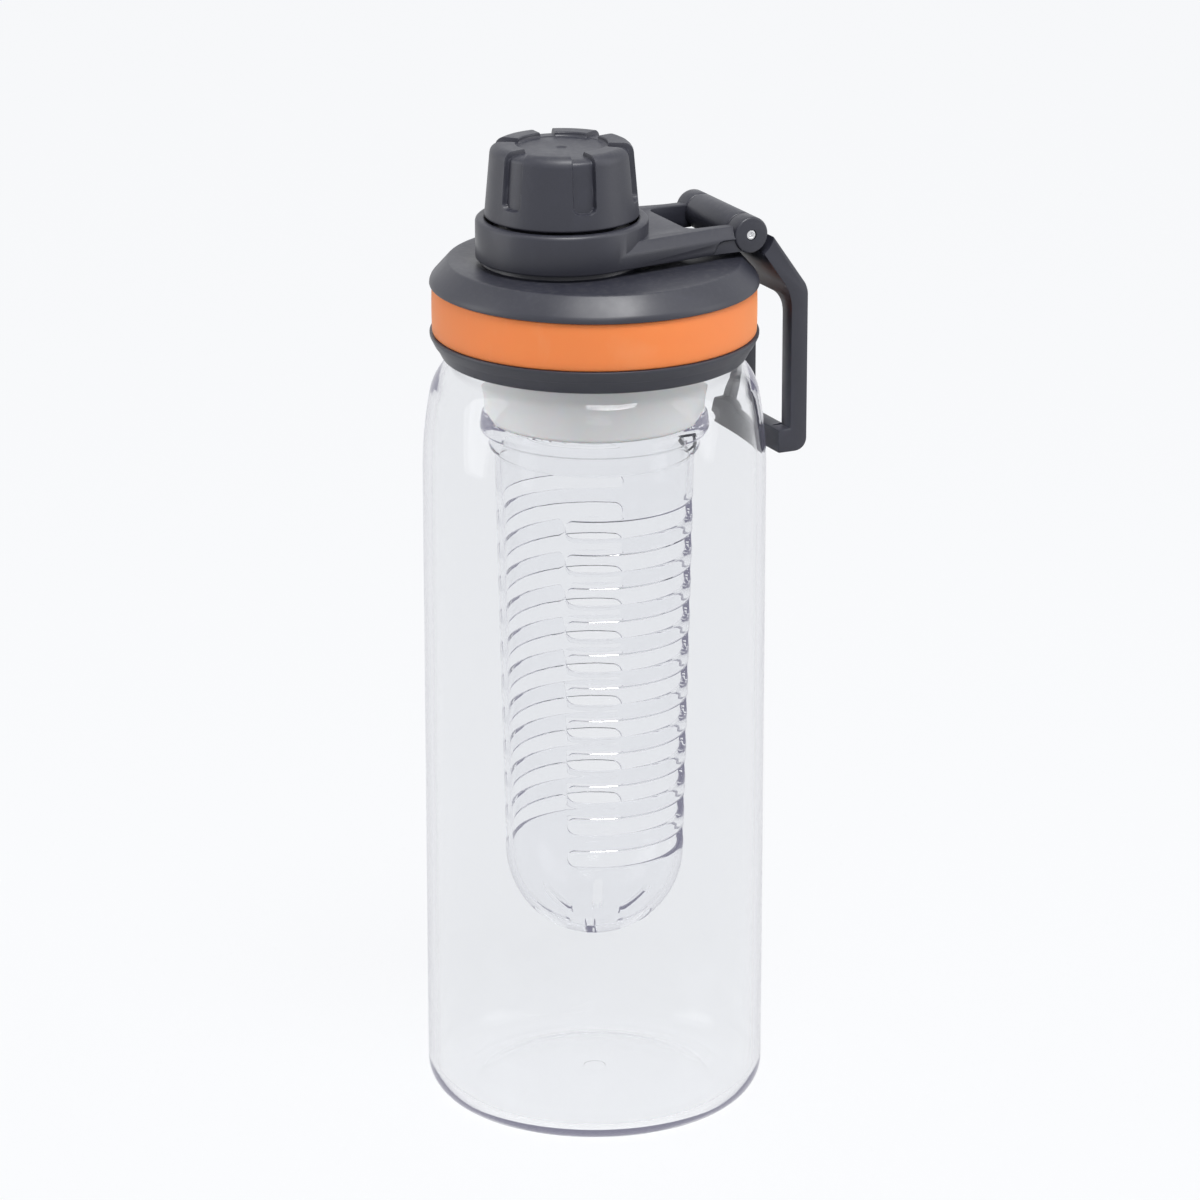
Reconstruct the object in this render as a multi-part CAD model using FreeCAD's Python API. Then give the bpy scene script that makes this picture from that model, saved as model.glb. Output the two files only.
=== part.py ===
"""Fruit infuser water bottle with a spout cap and a swinging carry loop.

Millimetres. The origin is the middle of the foot, on the table. +Z points up the bottle, and the
carry loop hangs on the +X side, with its hinge along Y.
"""
import FreeCAD
import Part
import math
import os

Vector = FreeCAD.Vector

# Fits
THREAD_GAP = 0.3            # radial play of a screw thread
SWIVEL_GAP = 0.2            # play of the bracket on its boss
HINGE_GAP = 0.3             # end play of the handle between the ears
PIN_GAP = 0.04              # radial play of the handle on the pin
SEAT_GAP = 0.05             # play of a ring in its groove and of a seal on its seat
WALL_GAP = 0.35             # hanging handle to bottle wall

# Bottle body
BODY_RADIUS = 40.0          # outside of the straight wall
BODY_WALL = 2.0             # thickness of wall and neck
BASE_THICKNESS = 2.8        # thickness of the floor
BASE_CORNER = 8.0           # rounding from wall to foot
FOOT_WIDTH = 4.0            # flat ring that the bottle stands on
PUSH_UP = 3.0               # rise of the floor at its middle
SHOULDER_HEIGHT = 181.5     # table to the root of the neck
BROW_DROP = 7.5             # root of the neck down to the brow of the shoulder
BROW_DRAW = 1.9             # brow in from the straight wall
TAPER_LENGTH = 18.0         # slow draw-in below the brow
NECK_STEP = 7.0             # neck in from the straight wall
NECK_LENGTH = 17.1          # root of the neck to the mouth
NECK_THREAD = 1.2           # depth of the neck's thread, which the lid leaves room for

# Lid
LID_FOOT_GAP = 0.9          # foot of the skirt above the root of the neck
LID_TOP = 3.0               # thickness of the lid's ceiling
SKIRT_WALL = 1.6            # skirt behind the grip band
SKIRT_FOOT_WALL = 0.8       # skirt at its foot
FOOT_STEP = 0.12            # crease half-way down the slope under the band
LIP_PROUD = 0.45            # lips stand out past the band
LIP_HEIGHT = 1.0            # lip above the band
BEVEL_WIDTH = 4.1           # slope from lip to flat top
BEVEL_HEIGHT = 4.6
BAND_WIDTH = 11.3           # height of the grip band
BAND_THICKNESS = 1.5
BAND_EDGE = 0.3             # chamfer on the band's outer edges
GASKET_THICKNESS = 1.6
GASKET_OVERHANG = 0.5       # gasket past the rim, on both sides

# Spout, boss and cap
SPOUT_OFFSET = 8.3          # spout axis away from the handle
SPOUT_RADIUS = 12.6         # root of the spout's thread
SPOUT_WALL = 2.2
SPOUT_RISE = 22.6           # rim above the lid's top
SPOUT_THREAD = 0.9
BOSS_STEP = 3.5             # boss out from the spout
BOSS_FOOT_STEP = 1.9        # seat for the bracket, out from the boss
BOSS_FOOT_HEIGHT = 1.2
BEAD_PROUD = 0.8            # snap bead that keeps the bracket down
BEAD_HEIGHT = 1.4
CAP_LIFT = 0.4              # cap above the bracket's ring
CAP_WALL = 1.3              # cap wall behind a groove
CAP_FLARE = 1.5             # foot of the cap out from its top
CAP_TOP = 3.05              # cap between its bore and its dish
CAP_EDGE = 2.2              # rounding of the cap's top edge
DISH_RADIUS = 10.6
DISH_DEPTH = 1.15
GROOVE_COUNT = 6
GROOVE_WIDTH = 5.6
GROOVE_DEPTH = 1.2
GROOVE_FOOT = 3.8           # groove ends this far above the cap's foot
GROOVE_CORNER = 1.7         # rounding of the groove's lower corners
GROOVE_ANGLE = 22.4         # first groove, from the handle's side
NOTCH_DEPTH = 0.95          # groove's notch across the rim
LINER_THICKNESS = 1.2

# Carry bracket
RING_HEIGHT = 9.4
RING_LEDGE = 5.4            # ledge under the snap bead
RING_POCKET_GAP = 0.7       # pocket round the snap bead
RING_WALL = 2.3             # ring round that pocket
RING_EDGE = 0.9             # chamfer on the ring's top edge
RAIL_LIFT = 0.1             # rails above the ring's foot
RAIL_HEIGHT = 5.7
RAIL_SLOPE_WIDTH = 2.0      # slope along the rail's outer top edge
RAIL_SLOPE_DROP = 2.4
WINDOW_LENGTH = 14.0        # pin to the far end of the gap between the rails
WINDOW_CORNER = 2.5
RAIL_POCKET_DEPTH = 0.5     # shallow recess in the rail's side, before the ear
RAIL_POCKET_LENGTH = 6.0
RAIL_POCKET_LEAN = 2.4      # recess starts this much later at its top
HINGE_INSET = 5.3           # pin in from the lid's lip
PIN_RISE = 5.2              # pin above the lid's top
PIN_RADIUS = 1.25
PIN_RECESS = 0.2            # pin's end below the ear's face
PIN_CENTRE = 0.6            # radius and depth of the drilled centre in its ends
EAR_RADIUS = 4.25
EAR_THICKNESS = 4.8

# Carry handle
HANDLE_WIDTH = 30.6         # along the hinge
HANDLE_REACH = 7.8          # outer face out from the bottle's wall
HANDLE_DROP = 53.3          # pin down to the handle's foot
KNEE_DROP = 14.0            # pin down to the outer knee
KNEE_ROUND = 1.6            # how far the outer knee's rounding reaches
INNER_KNEE_ROUND = 3.0      # how far the inner knee's rounding reaches
BAR_DEPTH = 4.4             # thickness of plate and bars
BAR_WIDTH = 4.8
CROSSBAR_HEIGHT = 5.6
CROSSBAR_DEPTH = 4.0
FOOT_CORNER = 3.0           # rounding of the foot's outer corner
LOOP_TOP_DROP = 16.5        # pin down to the top of the finger opening
LOOP_CORNER = 4.0           # rounding of the opening's top corners
EAR_CLEAR = 1.6             # plate's shoulders stay this far off the ears' round

# Inner sleeve and infuser
SLEEVE_NECK_GAP = 5.3       # sleeve inside the neck's bore
SLEEVE_WALL = 2.8
SLEEVE_LENGTH = 34.2        # underside of the lid's ceiling to the sleeve's foot
SLEEVE_FLANGE = 1.6         # flange between gasket and ceiling
SLEEVE_FLANGE_GAP = 0.3     # flange to the skirt
SLEEVE_EDGE = 1.1           # rounding at the sleeve's foot
COLLAR_HEIGHT = 10.0        # screw collar inside the sleeve
COLLAR_THREAD = 0.7
BASKET_WALL = 1.6
BASKET_STEP = 1.0           # flange out from the sleeve
BASKET_FLANGE = 3.4
BASKET_NECK_DROP = 5.1      # thicker neck below the flange
BASKET_NECK_STEP = 1.3
BASKET_INSET = 2.4          # top of the basket's wall in from the sleeve
BASKET_TAPER = 2.2          # round bottom in from the top of the wall
BASKET_FLOOR_GAP = 34.4     # round bottom above the bottle's floor
SLOT_PITCH = 8.13
SLOT_HEIGHT = 4.1
SLOT_TOP_DROP = 13.0        # first row below the basket's neck
SLOT_START = -133.5         # slots run from here
SLOT_SPAN = 112.5
SLOT_GROUPS = 2
DRAIN_COUNT = 6             # short slots in the round bottom
DRAIN_WIDTH = 2.4
DRAIN_START = 22.3          # degrees up the round bottom, from its lowest point
DRAIN_END = 41.6

# Places that follow from the sizes above
NECK_RADIUS = BODY_RADIUS - NECK_STEP
MOUTH_Z = SHOULDER_HEIGHT + NECK_LENGTH
GASKET_Z = MOUTH_Z + SEAT_GAP
FLANGE_Z = GASKET_Z + GASKET_THICKNESS + SEAT_GAP
CEILING_Z = FLANGE_Z + SLEEVE_FLANGE + SEAT_GAP
LID_Z = CEILING_Z + LID_TOP
LID_FOOT_Z = SHOULDER_HEIGHT + LID_FOOT_GAP
SKIRT_RADIUS = NECK_RADIUS + NECK_THREAD + THREAD_GAP
GROOVE_RADIUS = SKIRT_RADIUS + SKIRT_WALL
BAND_RADIUS = GROOVE_RADIUS + SEAT_GAP + BAND_THICKNESS
LIP_RADIUS = BAND_RADIUS + LIP_PROUD
BAND_TOP_Z = LID_Z - BEVEL_HEIGHT - LIP_HEIGHT
BAND_FOOT_Z = BAND_TOP_Z - BAND_WIDTH

SPOUT_X = -SPOUT_OFFSET
SPOUT_BORE = SPOUT_RADIUS - SPOUT_WALL
RIM_Z = LID_Z + SPOUT_RISE
BOSS_RADIUS = SPOUT_RADIUS + BOSS_STEP
BOSS_FOOT_Z = LID_Z + BOSS_FOOT_HEIGHT
RING_Z = BOSS_FOOT_Z + SWIVEL_GAP
RING_TOP_Z = RING_Z + RING_HEIGHT
BEAD_RADIUS = BOSS_RADIUS + BEAD_PROUD
BEAD_Z = RING_Z + RING_LEDGE + SWIVEL_GAP
RING_BORE = BOSS_RADIUS + SWIVEL_GAP
RING_POCKET = BEAD_RADIUS + RING_POCKET_GAP
RING_RADIUS = RING_POCKET + RING_WALL
RAIL_Z = RING_Z + RAIL_LIFT

CAP_BORE = SPOUT_RADIUS + SPOUT_THREAD + THREAD_GAP
CAP_TOP_RADIUS = CAP_BORE + CAP_WALL + GROOVE_DEPTH
CAP_FOOT_RADIUS = CAP_TOP_RADIUS + CAP_FLARE
CAP_Z = RING_TOP_Z + CAP_LIFT
CAP_LINER_Z = RIM_Z + SEAT_GAP
CAP_CEILING_Z = CAP_LINER_Z + LINER_THICKNESS + SEAT_GAP
DISH_Z = CAP_CEILING_Z + CAP_TOP
CAP_TOP_Z = DISH_Z + DISH_DEPTH

PIN_X = LIP_RADIUS - HINGE_INSET
PIN_Z = LID_Z + PIN_RISE
HALF_WIDTH = HANDLE_WIDTH / 2
EAR_INSIDE = HALF_WIDTH - EAR_THICKNESS
BARREL_HALF = EAR_INSIDE - HINGE_GAP
HANDLE_X = BODY_RADIUS + HANDLE_REACH
HANDLE_FOOT_Z = PIN_Z - HANDLE_DROP
CROSSBAR_X = BODY_RADIUS + WALL_GAP
KNEE_Z = PIN_Z - KNEE_DROP

SLEEVE_RADIUS = NECK_RADIUS - BODY_WALL - SLEEVE_NECK_GAP
SLEEVE_BORE = SLEEVE_RADIUS - SLEEVE_WALL
SLEEVE_FOOT_Z = CEILING_Z - SLEEVE_LENGTH
BASKET_FLANGE_TOP_Z = SLEEVE_FOOT_Z - SEAT_GAP
BASKET_FLANGE_Z = BASKET_FLANGE_TOP_Z - BASKET_FLANGE
BASKET_NECK_Z = BASKET_FLANGE_Z - BASKET_NECK_DROP
COLLAR_RADIUS = SLEEVE_BORE - THREAD_GAP - COLLAR_THREAD
BASKET_TOP_RADIUS = SLEEVE_RADIUS - BASKET_INSET
BASKET_LOW_RADIUS = BASKET_TOP_RADIUS - BASKET_TAPER
DRAIN_INNER = BASKET_LOW_RADIUS * math.sin(math.radians(DRAIN_START))
DRAIN_OUTER = BASKET_LOW_RADIUS * math.sin(math.radians(DRAIN_END))
DOME_Z = BASE_THICKNESS + PUSH_UP + BASKET_FLOOR_GAP + BASKET_LOW_RADIUS

AXIS = Vector(0, 0, 1)
PAST = 1.0                  # how far a cutter runs past the face it cuts


def tangent_arc(start, heading, end):
    """Arc that leaves start along heading (an angle) and reaches end.

    Returns the move for outline() and the angle at which the arc arrives.
    """
    across = end[0] - start[0]
    up = end[1] - start[1]
    chord = math.atan2(up, across)
    bulge = 0.5 * math.tan((chord - heading) / 2)
    middle = ((start[0] + end[0]) / 2 + bulge * up, (start[1] + end[1]) / 2 - bulge * across)
    return (middle, end), 2 * chord - heading


def quarter_arc(start, end, centre):
    """Quarter circle from start to end round centre, as a move for outline()."""
    radius = math.hypot(start[0] - centre[0], start[1] - centre[1])
    lean = math.atan2(start[1] + end[1] - 2 * centre[1], start[0] + end[0] - 2 * centre[0])
    return (centre[0] + radius * math.cos(lean), centre[1] + radius * math.sin(lean)), end


def outline(start, moves):
    """Closed face in the XZ plane. A move is the end of a line, or the middle and end of an arc."""
    edges = []
    here = Vector(start[0], 0, start[1])
    for move in moves + [start]:
        is_arc = isinstance(move[0], tuple)
        end = move[1] if is_arc else move
        there = Vector(end[0], 0, end[1])
        if is_arc:
            edges.append(Part.Arc(here, Vector(move[0][0], 0, move[0][1]), there).toShape())
        elif here.distanceToPoint(there) > 1e-7:
            edges.append(Part.LineSegment(here, there).toShape())
        here = there
    return Part.Face(Part.Wire(edges))


def turned(start, moves, x=0.0):
    """Solid turned from an outline of (radius, height) points about the upright line at x."""
    solid = outline(start, moves).revolve(Vector(0, 0, 0), AXIS, 360)
    solid.translate(Vector(x, 0, 0))
    return solid


def rod(radius, start, end, x=0.0):
    """Upright cylinder between two heights."""
    return Part.makeCylinder(radius, end - start, Vector(x, 0, start))


def cross_rod(radius, start, end):
    """Cylinder on the hinge axis between two places along Y."""
    return Part.makeCylinder(radius, end - start, Vector(PIN_X, start, PIN_Z), Vector(0, 1, 0))


def slab(face, start, end):
    """XZ face swept along Y between two places."""
    solid = face.extrude(Vector(0, end - start, 0))
    solid.translate(Vector(0, start, 0))
    return solid


def box(low, high):
    """Box between two corners."""
    return Part.makeBox(high[0] - low[0], high[1] - low[1], high[2] - low[2], Vector(*low))


def bottle_form(inset, floor, top):
    """Solid inside the bottle's outer skin (inset 0) or inside its cavity (inset by the wall)."""
    wall = BODY_RADIUS - inset
    foot = BODY_RADIUS - BASE_CORNER
    foot_inside = foot - FOOT_WIDTH
    corner = BASE_CORNER - inset
    neck = NECK_RADIUS - inset
    taper = (wall, SHOULDER_HEIGHT - BROW_DROP - TAPER_LENGTH)
    brow = (wall - BROW_DRAW, SHOULDER_HEIGHT - BROW_DROP)
    # the slope of the shoulder lowers the cavity's root by about half the wall
    root = (neck, SHOULDER_HEIGHT - inset / 2)
    push_up, _ = tangent_arc((0, floor + PUSH_UP), 0.0, (foot_inside, floor))
    rounding = quarter_arc((foot, floor), (wall, floor + corner), (foot, floor + corner))
    draw_in, lean = tangent_arc(taper, math.pi / 2, brow)
    shoulder, _ = tangent_arc(brow, lean, root)
    moves = [push_up, (foot, floor), rounding, taper, draw_in, shoulder, (neck, top), (0, top)]
    return turned((0, floor + PUSH_UP), moves)


def make_bottle_body():
    """Clear bottle with a pushed-up floor, a drawn-in shoulder and a plain neck."""
    skin = bottle_form(0.0, 0.0, MOUTH_Z)
    cavity = bottle_form(BODY_WALL, BASE_THICKNESS, MOUTH_Z + PAST)
    return skin.cut(cavity)


def make_lid_shell():
    """Lid with its skirt, grip groove, pivot boss and spout."""
    foot_radius = SKIRT_RADIUS + SKIRT_FOOT_WALL
    ring_height = BAND_FOOT_Z - LID_FOOT_Z
    step_z = LID_FOOT_Z + ring_height / 2
    lip_foot_z = BAND_FOOT_Z - ring_height / 8
    step_share = (step_z - LID_FOOT_Z) / (lip_foot_z - LID_FOOT_Z)
    step_radius = foot_radius + (LIP_RADIUS - foot_radius) * step_share
    bevel_z = BAND_TOP_Z + LIP_HEIGHT
    cup = turned((0, LID_Z), [
        (LIP_RADIUS - BEVEL_WIDTH, LID_Z),
        (LIP_RADIUS, bevel_z),
        (LIP_RADIUS, BAND_TOP_Z),
        (GROOVE_RADIUS, BAND_TOP_Z),
        (GROOVE_RADIUS, BAND_FOOT_Z),
        (LIP_RADIUS, BAND_FOOT_Z),
        (LIP_RADIUS, lip_foot_z),
        (step_radius + FOOT_STEP, step_z),
        (step_radius - FOOT_STEP, step_z),
        (foot_radius, LID_FOOT_Z),
        (SKIRT_RADIUS, LID_FOOT_Z),
        (SKIRT_RADIUS, CEILING_Z),
        (0, CEILING_Z),
    ])
    seat_radius = BOSS_RADIUS + BOSS_FOOT_STEP
    bead_slope = BEAD_HEIGHT / 3
    boss = turned((0, CEILING_Z), [
        (seat_radius, CEILING_Z),
        (seat_radius, BOSS_FOOT_Z),
        (BOSS_RADIUS, BOSS_FOOT_Z),
        (BOSS_RADIUS, BEAD_Z),
        (BEAD_RADIUS, BEAD_Z),
        (BEAD_RADIUS, BEAD_Z + bead_slope),
        (SPOUT_RADIUS, BEAD_Z + BEAD_HEIGHT),
        (SPOUT_RADIUS, RIM_Z),
        (0, RIM_Z),
    ], SPOUT_X)
    bore = rod(SPOUT_BORE, CEILING_Z - PAST, RIM_Z + PAST, SPOUT_X)
    return cup.fuse(boss).cut(bore).removeSplitter()


def make_grip_band():
    """Soft ring in the lid's groove."""
    inside = GROOVE_RADIUS + SEAT_GAP
    foot = BAND_FOOT_Z + SEAT_GAP
    top = BAND_TOP_Z - SEAT_GAP
    return turned((inside, foot), [
        (BAND_RADIUS - BAND_EDGE, foot),
        (BAND_RADIUS, foot + BAND_EDGE),
        (BAND_RADIUS, top - BAND_EDGE),
        (BAND_RADIUS - BAND_EDGE, top),
        (inside, top),
    ])


def make_lid_gasket():
    """Flat sealing ring on the bottle's rim."""
    inside = NECK_RADIUS - BODY_WALL - GASKET_OVERHANG
    outside = NECK_RADIUS + GASKET_OVERHANG
    top = GASKET_Z + GASKET_THICKNESS
    return turned((inside, GASKET_Z), [(outside, GASKET_Z), (outside, top), (inside, top)])


def make_inner_sleeve():
    """Milky tube under the lid, with a flange that the gasket presses up."""
    flange = SKIRT_RADIUS - SLEEVE_FLANGE_GAP
    top = FLANGE_Z + SLEEVE_FLANGE
    edge_z = SLEEVE_FOOT_Z + SLEEVE_EDGE
    edge_in = SLEEVE_RADIUS - SLEEVE_EDGE
    rounding = quarter_arc((edge_in, SLEEVE_FOOT_Z), (SLEEVE_RADIUS, edge_z), (edge_in, edge_z))
    return turned((SLEEVE_BORE, SLEEVE_FOOT_Z), [
        (edge_in, SLEEVE_FOOT_Z),
        rounding,
        (SLEEVE_RADIUS, FLANGE_Z),
        (flange, FLANGE_Z),
        (flange, top),
        (SLEEVE_BORE, top),
    ])


def basket_form(inset):
    """Solid inside the basket's outer skin (inset 0) or inside its cavity (inset by the wall)."""
    low = BASKET_LOW_RADIUS - inset
    dome = quarter_arc((0, DOME_Z - low), (low, DOME_Z), (0, DOME_Z))
    high = (BASKET_TOP_RADIUS - inset, BASKET_NECK_Z)
    collar = COLLAR_RADIUS - inset
    top = BASKET_FLANGE_TOP_Z + COLLAR_HEIGHT
    if inset:
        moves = [dome, high, (collar, BASKET_FLANGE_Z), (collar, top + PAST), (0, top + PAST)]
        return turned((0, DOME_Z - low), moves)
    neck = BASKET_TOP_RADIUS + BASKET_NECK_STEP
    flange = SLEEVE_RADIUS + BASKET_STEP
    moves = [
        dome,
        high,
        (neck, BASKET_NECK_Z + BASKET_NECK_STEP),
        (neck, BASKET_FLANGE_Z),
        (flange, BASKET_FLANGE_Z),
        (flange, BASKET_FLANGE_TOP_Z),
        (collar, BASKET_FLANGE_TOP_Z),
        (collar, top),
        (0, top),
    ]
    return turned((0, DOME_Z - low), moves)


def ring_slot(height_z, start):
    """Cutter for one round-ended slot that runs part of the way round the basket."""
    inside = BASKET_LOW_RADIUS / 2
    outside = BASKET_TOP_RADIUS + PAST
    half = SLOT_HEIGHT / 2
    end_turn = math.degrees(half / BASKET_TOP_RADIUS)
    section = outline((inside, height_z - half), [
        (outside, height_z - half),
        (outside, height_z + half),
        (inside, height_z + half),
    ])
    section.rotate(Vector(0, 0, 0), AXIS, start + end_turn)
    run = section.revolve(Vector(0, 0, 0), AXIS, SLOT_SPAN - 2 * end_turn)
    ends = []
    for angle in (start + end_turn, start + SLOT_SPAN - end_turn):
        way = Vector(math.cos(math.radians(angle)), math.sin(math.radians(angle)), 0)
        ends.append(Part.makeCylinder(half, outside - inside, way * inside + AXIS * height_z, way))
    return run.multiFuse(ends)


def drain_slot(angle):
    """Cutter for one short radial slot in the basket's round bottom."""
    half = DRAIN_WIDTH / 2
    foot = DOME_Z - BASKET_LOW_RADIUS - PAST
    height = BASKET_LOW_RADIUS
    run = box((DRAIN_INNER, -half, foot), (DRAIN_OUTER, half, foot + height))
    ends = [Part.makeCylinder(half, height, Vector(x, 0, foot)) for x in (DRAIN_INNER, DRAIN_OUTER)]
    cutter = run.multiFuse(ends)
    cutter.rotate(Vector(0, 0, 0), AXIS, angle)
    return cutter


def make_infuser_basket():
    """Clear basket with a screw collar, a flange, rows of slots and a round bottom."""
    basket = basket_form(0.0).cut(basket_form(BASKET_WALL))
    first = BASKET_NECK_Z - SLOT_TOP_DROP
    last = DOME_Z + SLOT_HEIGHT / 2
    rows = int((first - last) / SLOT_PITCH) + 1
    cutters = []
    for row in range(rows):
        for group in range(SLOT_GROUPS):
            start = SLOT_START + group * 360 / SLOT_GROUPS
            cutters.append(ring_slot(first - row * SLOT_PITCH, start))
    for drain in range(DRAIN_COUNT):
        cutters.append(drain_slot(drain * 360 / DRAIN_COUNT))
    return basket.cut(cutters)


def groove_cutter(angle):
    """Cutter for one finger groove with round lower corners, and its notch across the cap's rim."""
    half = GROOVE_WIDTH / 2
    floor_radius = CAP_BORE + CAP_WALL
    lean = math.degrees(math.atan2(CAP_FLARE, CAP_TOP_Z - CAP_Z))
    end_z = CAP_Z + GROOVE_FOOT
    out = CAP_FLARE + GROOVE_DEPTH + PAST
    top = CAP_TOP_Z + 2 * PAST
    run = box((floor_radius, -half, end_z), (floor_radius + out, half, top))
    outward = [edge for edge in run.Edges if abs(edge.tangentAt(edge.FirstParameter).x) > 0.5]
    corners = [edge for edge in outward if edge.BoundBox.ZMax < end_z + PAST]
    groove = run.makeFillet(GROOVE_CORNER, corners)
    # the floor of the groove follows the cap's slope
    groove.rotate(Vector(floor_radius, 0, CAP_TOP_Z), Vector(0, 1, 0), -lean)
    notch = box((DISH_RADIUS - PAST, -half, CAP_TOP_Z - NOTCH_DEPTH), (floor_radius + out, half, top))
    cutter = groove.fuse(notch)
    cutter.rotate(Vector(0, 0, 0), AXIS, angle)
    cutter.translate(Vector(SPOUT_X, 0, 0))
    return cutter


def make_screw_cap():
    """Small cap on the spout, with finger grooves and a dished top."""
    edge_z = CAP_TOP_Z - CAP_EDGE
    edge_in = CAP_TOP_RADIUS - CAP_EDGE
    rounding = quarter_arc((CAP_TOP_RADIUS, edge_z), (edge_in, CAP_TOP_Z), (edge_in, edge_z))
    dish = quarter_arc((DISH_RADIUS, CAP_TOP_Z), (DISH_RADIUS - DISH_DEPTH, DISH_Z),
                       (DISH_RADIUS - DISH_DEPTH, CAP_TOP_Z))
    cap = turned((CAP_BORE, CAP_Z), [
        (CAP_FOOT_RADIUS, CAP_Z),
        (CAP_TOP_RADIUS, edge_z),
        rounding,
        (DISH_RADIUS, CAP_TOP_Z),
        dish,
        (0, DISH_Z),
        (0, CAP_CEILING_Z),
        (CAP_BORE, CAP_CEILING_Z),
    ], SPOUT_X)
    angles = [GROOVE_ANGLE + k * 360 / GROOVE_COUNT for k in range(GROOVE_COUNT)]
    return cap.cut([groove_cutter(angle) for angle in angles])


def make_cap_liner():
    """Sealing disc between the spout's rim and the cap's ceiling."""
    return rod(CAP_BORE - THREAD_GAP, CAP_LINER_Z, CAP_LINER_Z + LINER_THICKNESS, SPOUT_X)


def upright_loft(low_plan, low_z, high_plan, high_z):
    """Solid with straight sides between two plans at two heights."""
    wires = []
    for plan, z in ((low_plan, low_z), (high_plan, high_z)):
        corners = [Vector(x, y, z) for x, y in plan]
        wires.append(Part.makePolygon(corners + corners[:1]))
    return Part.makeLoft(wires, True, True)


def arm_plan(inset):
    """Plan of the bracket from ring to ears, with its two long sides drawn in by inset."""
    ear_x = PIN_X - 2 * EAR_RADIUS
    half_width = HALF_WIDTH - inset
    side = [(SPOUT_X, RING_RADIUS - inset), (ear_x, half_width), (PIN_X, half_width)]
    return side + [(x, -y) for x, y in reversed(side)]


def window_cutter(low, high):
    """Cutter for the gap between the rails, with round corners at the ring's end."""
    start = PIN_X - WINDOW_LENGTH
    cutter = box((start, -EAR_INSIDE, low), (PIN_X + PAST, EAR_INSIDE, high))
    upright = [edge for edge in cutter.Edges if abs(edge.tangentAt(edge.FirstParameter).z) > 0.5]
    corners = [edge for edge in upright if edge.BoundBox.XMax < PIN_X]
    return cutter.makeFillet(WINDOW_CORNER, corners)


def make_carry_bracket():
    """Ring that turns on the spout's boss, with a plate that forks into two hinge rails."""
    rail_top = RAIL_Z + RAIL_HEIGHT
    slope_z = rail_top - RAIL_SLOPE_DROP
    foot_plan = arm_plan(0.0)
    arms = upright_loft(foot_plan, RAIL_Z, foot_plan, slope_z)
    arms = arms.fuse(upright_loft(foot_plan, slope_z, arm_plan(RAIL_SLOPE_WIDTH), rail_top))
    arms = arms.cut(window_cutter(RAIL_Z - PAST, rail_top + PAST))
    ears = [
        cross_rod(EAR_RADIUS, EAR_INSIDE, HALF_WIDTH),
        cross_rod(EAR_RADIUS, -HALF_WIDTH, -EAR_INSIDE),
    ]
    ring = turned((0, RING_Z), [
        (RING_RADIUS, RING_Z),
        (RING_RADIUS, RING_TOP_Z - RING_EDGE),
        (RING_RADIUS - RING_EDGE, RING_TOP_Z),
        (0, RING_TOP_Z),
    ], SPOUT_X)
    bore = turned((0, RING_Z - PAST), [
        (RING_BORE, RING_Z - PAST),
        (RING_BORE, RING_Z + RING_LEDGE),
        (RING_POCKET, RING_Z + RING_LEDGE),
        (RING_POCKET, RING_TOP_Z + PAST),
        (0, RING_TOP_Z + PAST),
    ], SPOUT_X)
    bracket = arms.multiFuse(ears + [ring]).cut(bore)
    pocket_end = PIN_X - EAR_RADIUS
    pocket_foot = RAIL_Z - PAST
    pocket_floor = HALF_WIDTH - RAIL_POCKET_DEPTH
    pocket_start = pocket_end - RAIL_POCKET_LENGTH
    outside = RING_RADIUS + PAST
    pocket = outline((pocket_start, pocket_foot), [
        (pocket_end, pocket_foot),
        (pocket_end, slope_z),
        (pocket_start + RAIL_POCKET_LEAN, slope_z),
    ])
    cuts = [
        slab(pocket, pocket_floor, outside),
        slab(pocket, -outside, -pocket_floor),
        cross_rod(PIN_RADIUS, -HALF_WIDTH - PAST, HALF_WIDTH + PAST),
    ]
    return bracket.cut(cuts).removeSplitter()


def make_hinge_pin():
    """Steel pin through both ears and the handle's barrel, with a drilled centre in each end."""
    half = HALF_WIDTH - PIN_RECESS
    centres = []
    for side in (1, -1):
        face = Vector(PIN_X, side * half, PIN_Z)
        centres.append(Part.makeCone(PIN_CENTRE, PIN_CENTRE / 2, PIN_CENTRE, face, Vector(0, -side, 0)))
    return cross_rod(PIN_RADIUS, -half, half).cut(centres)


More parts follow.
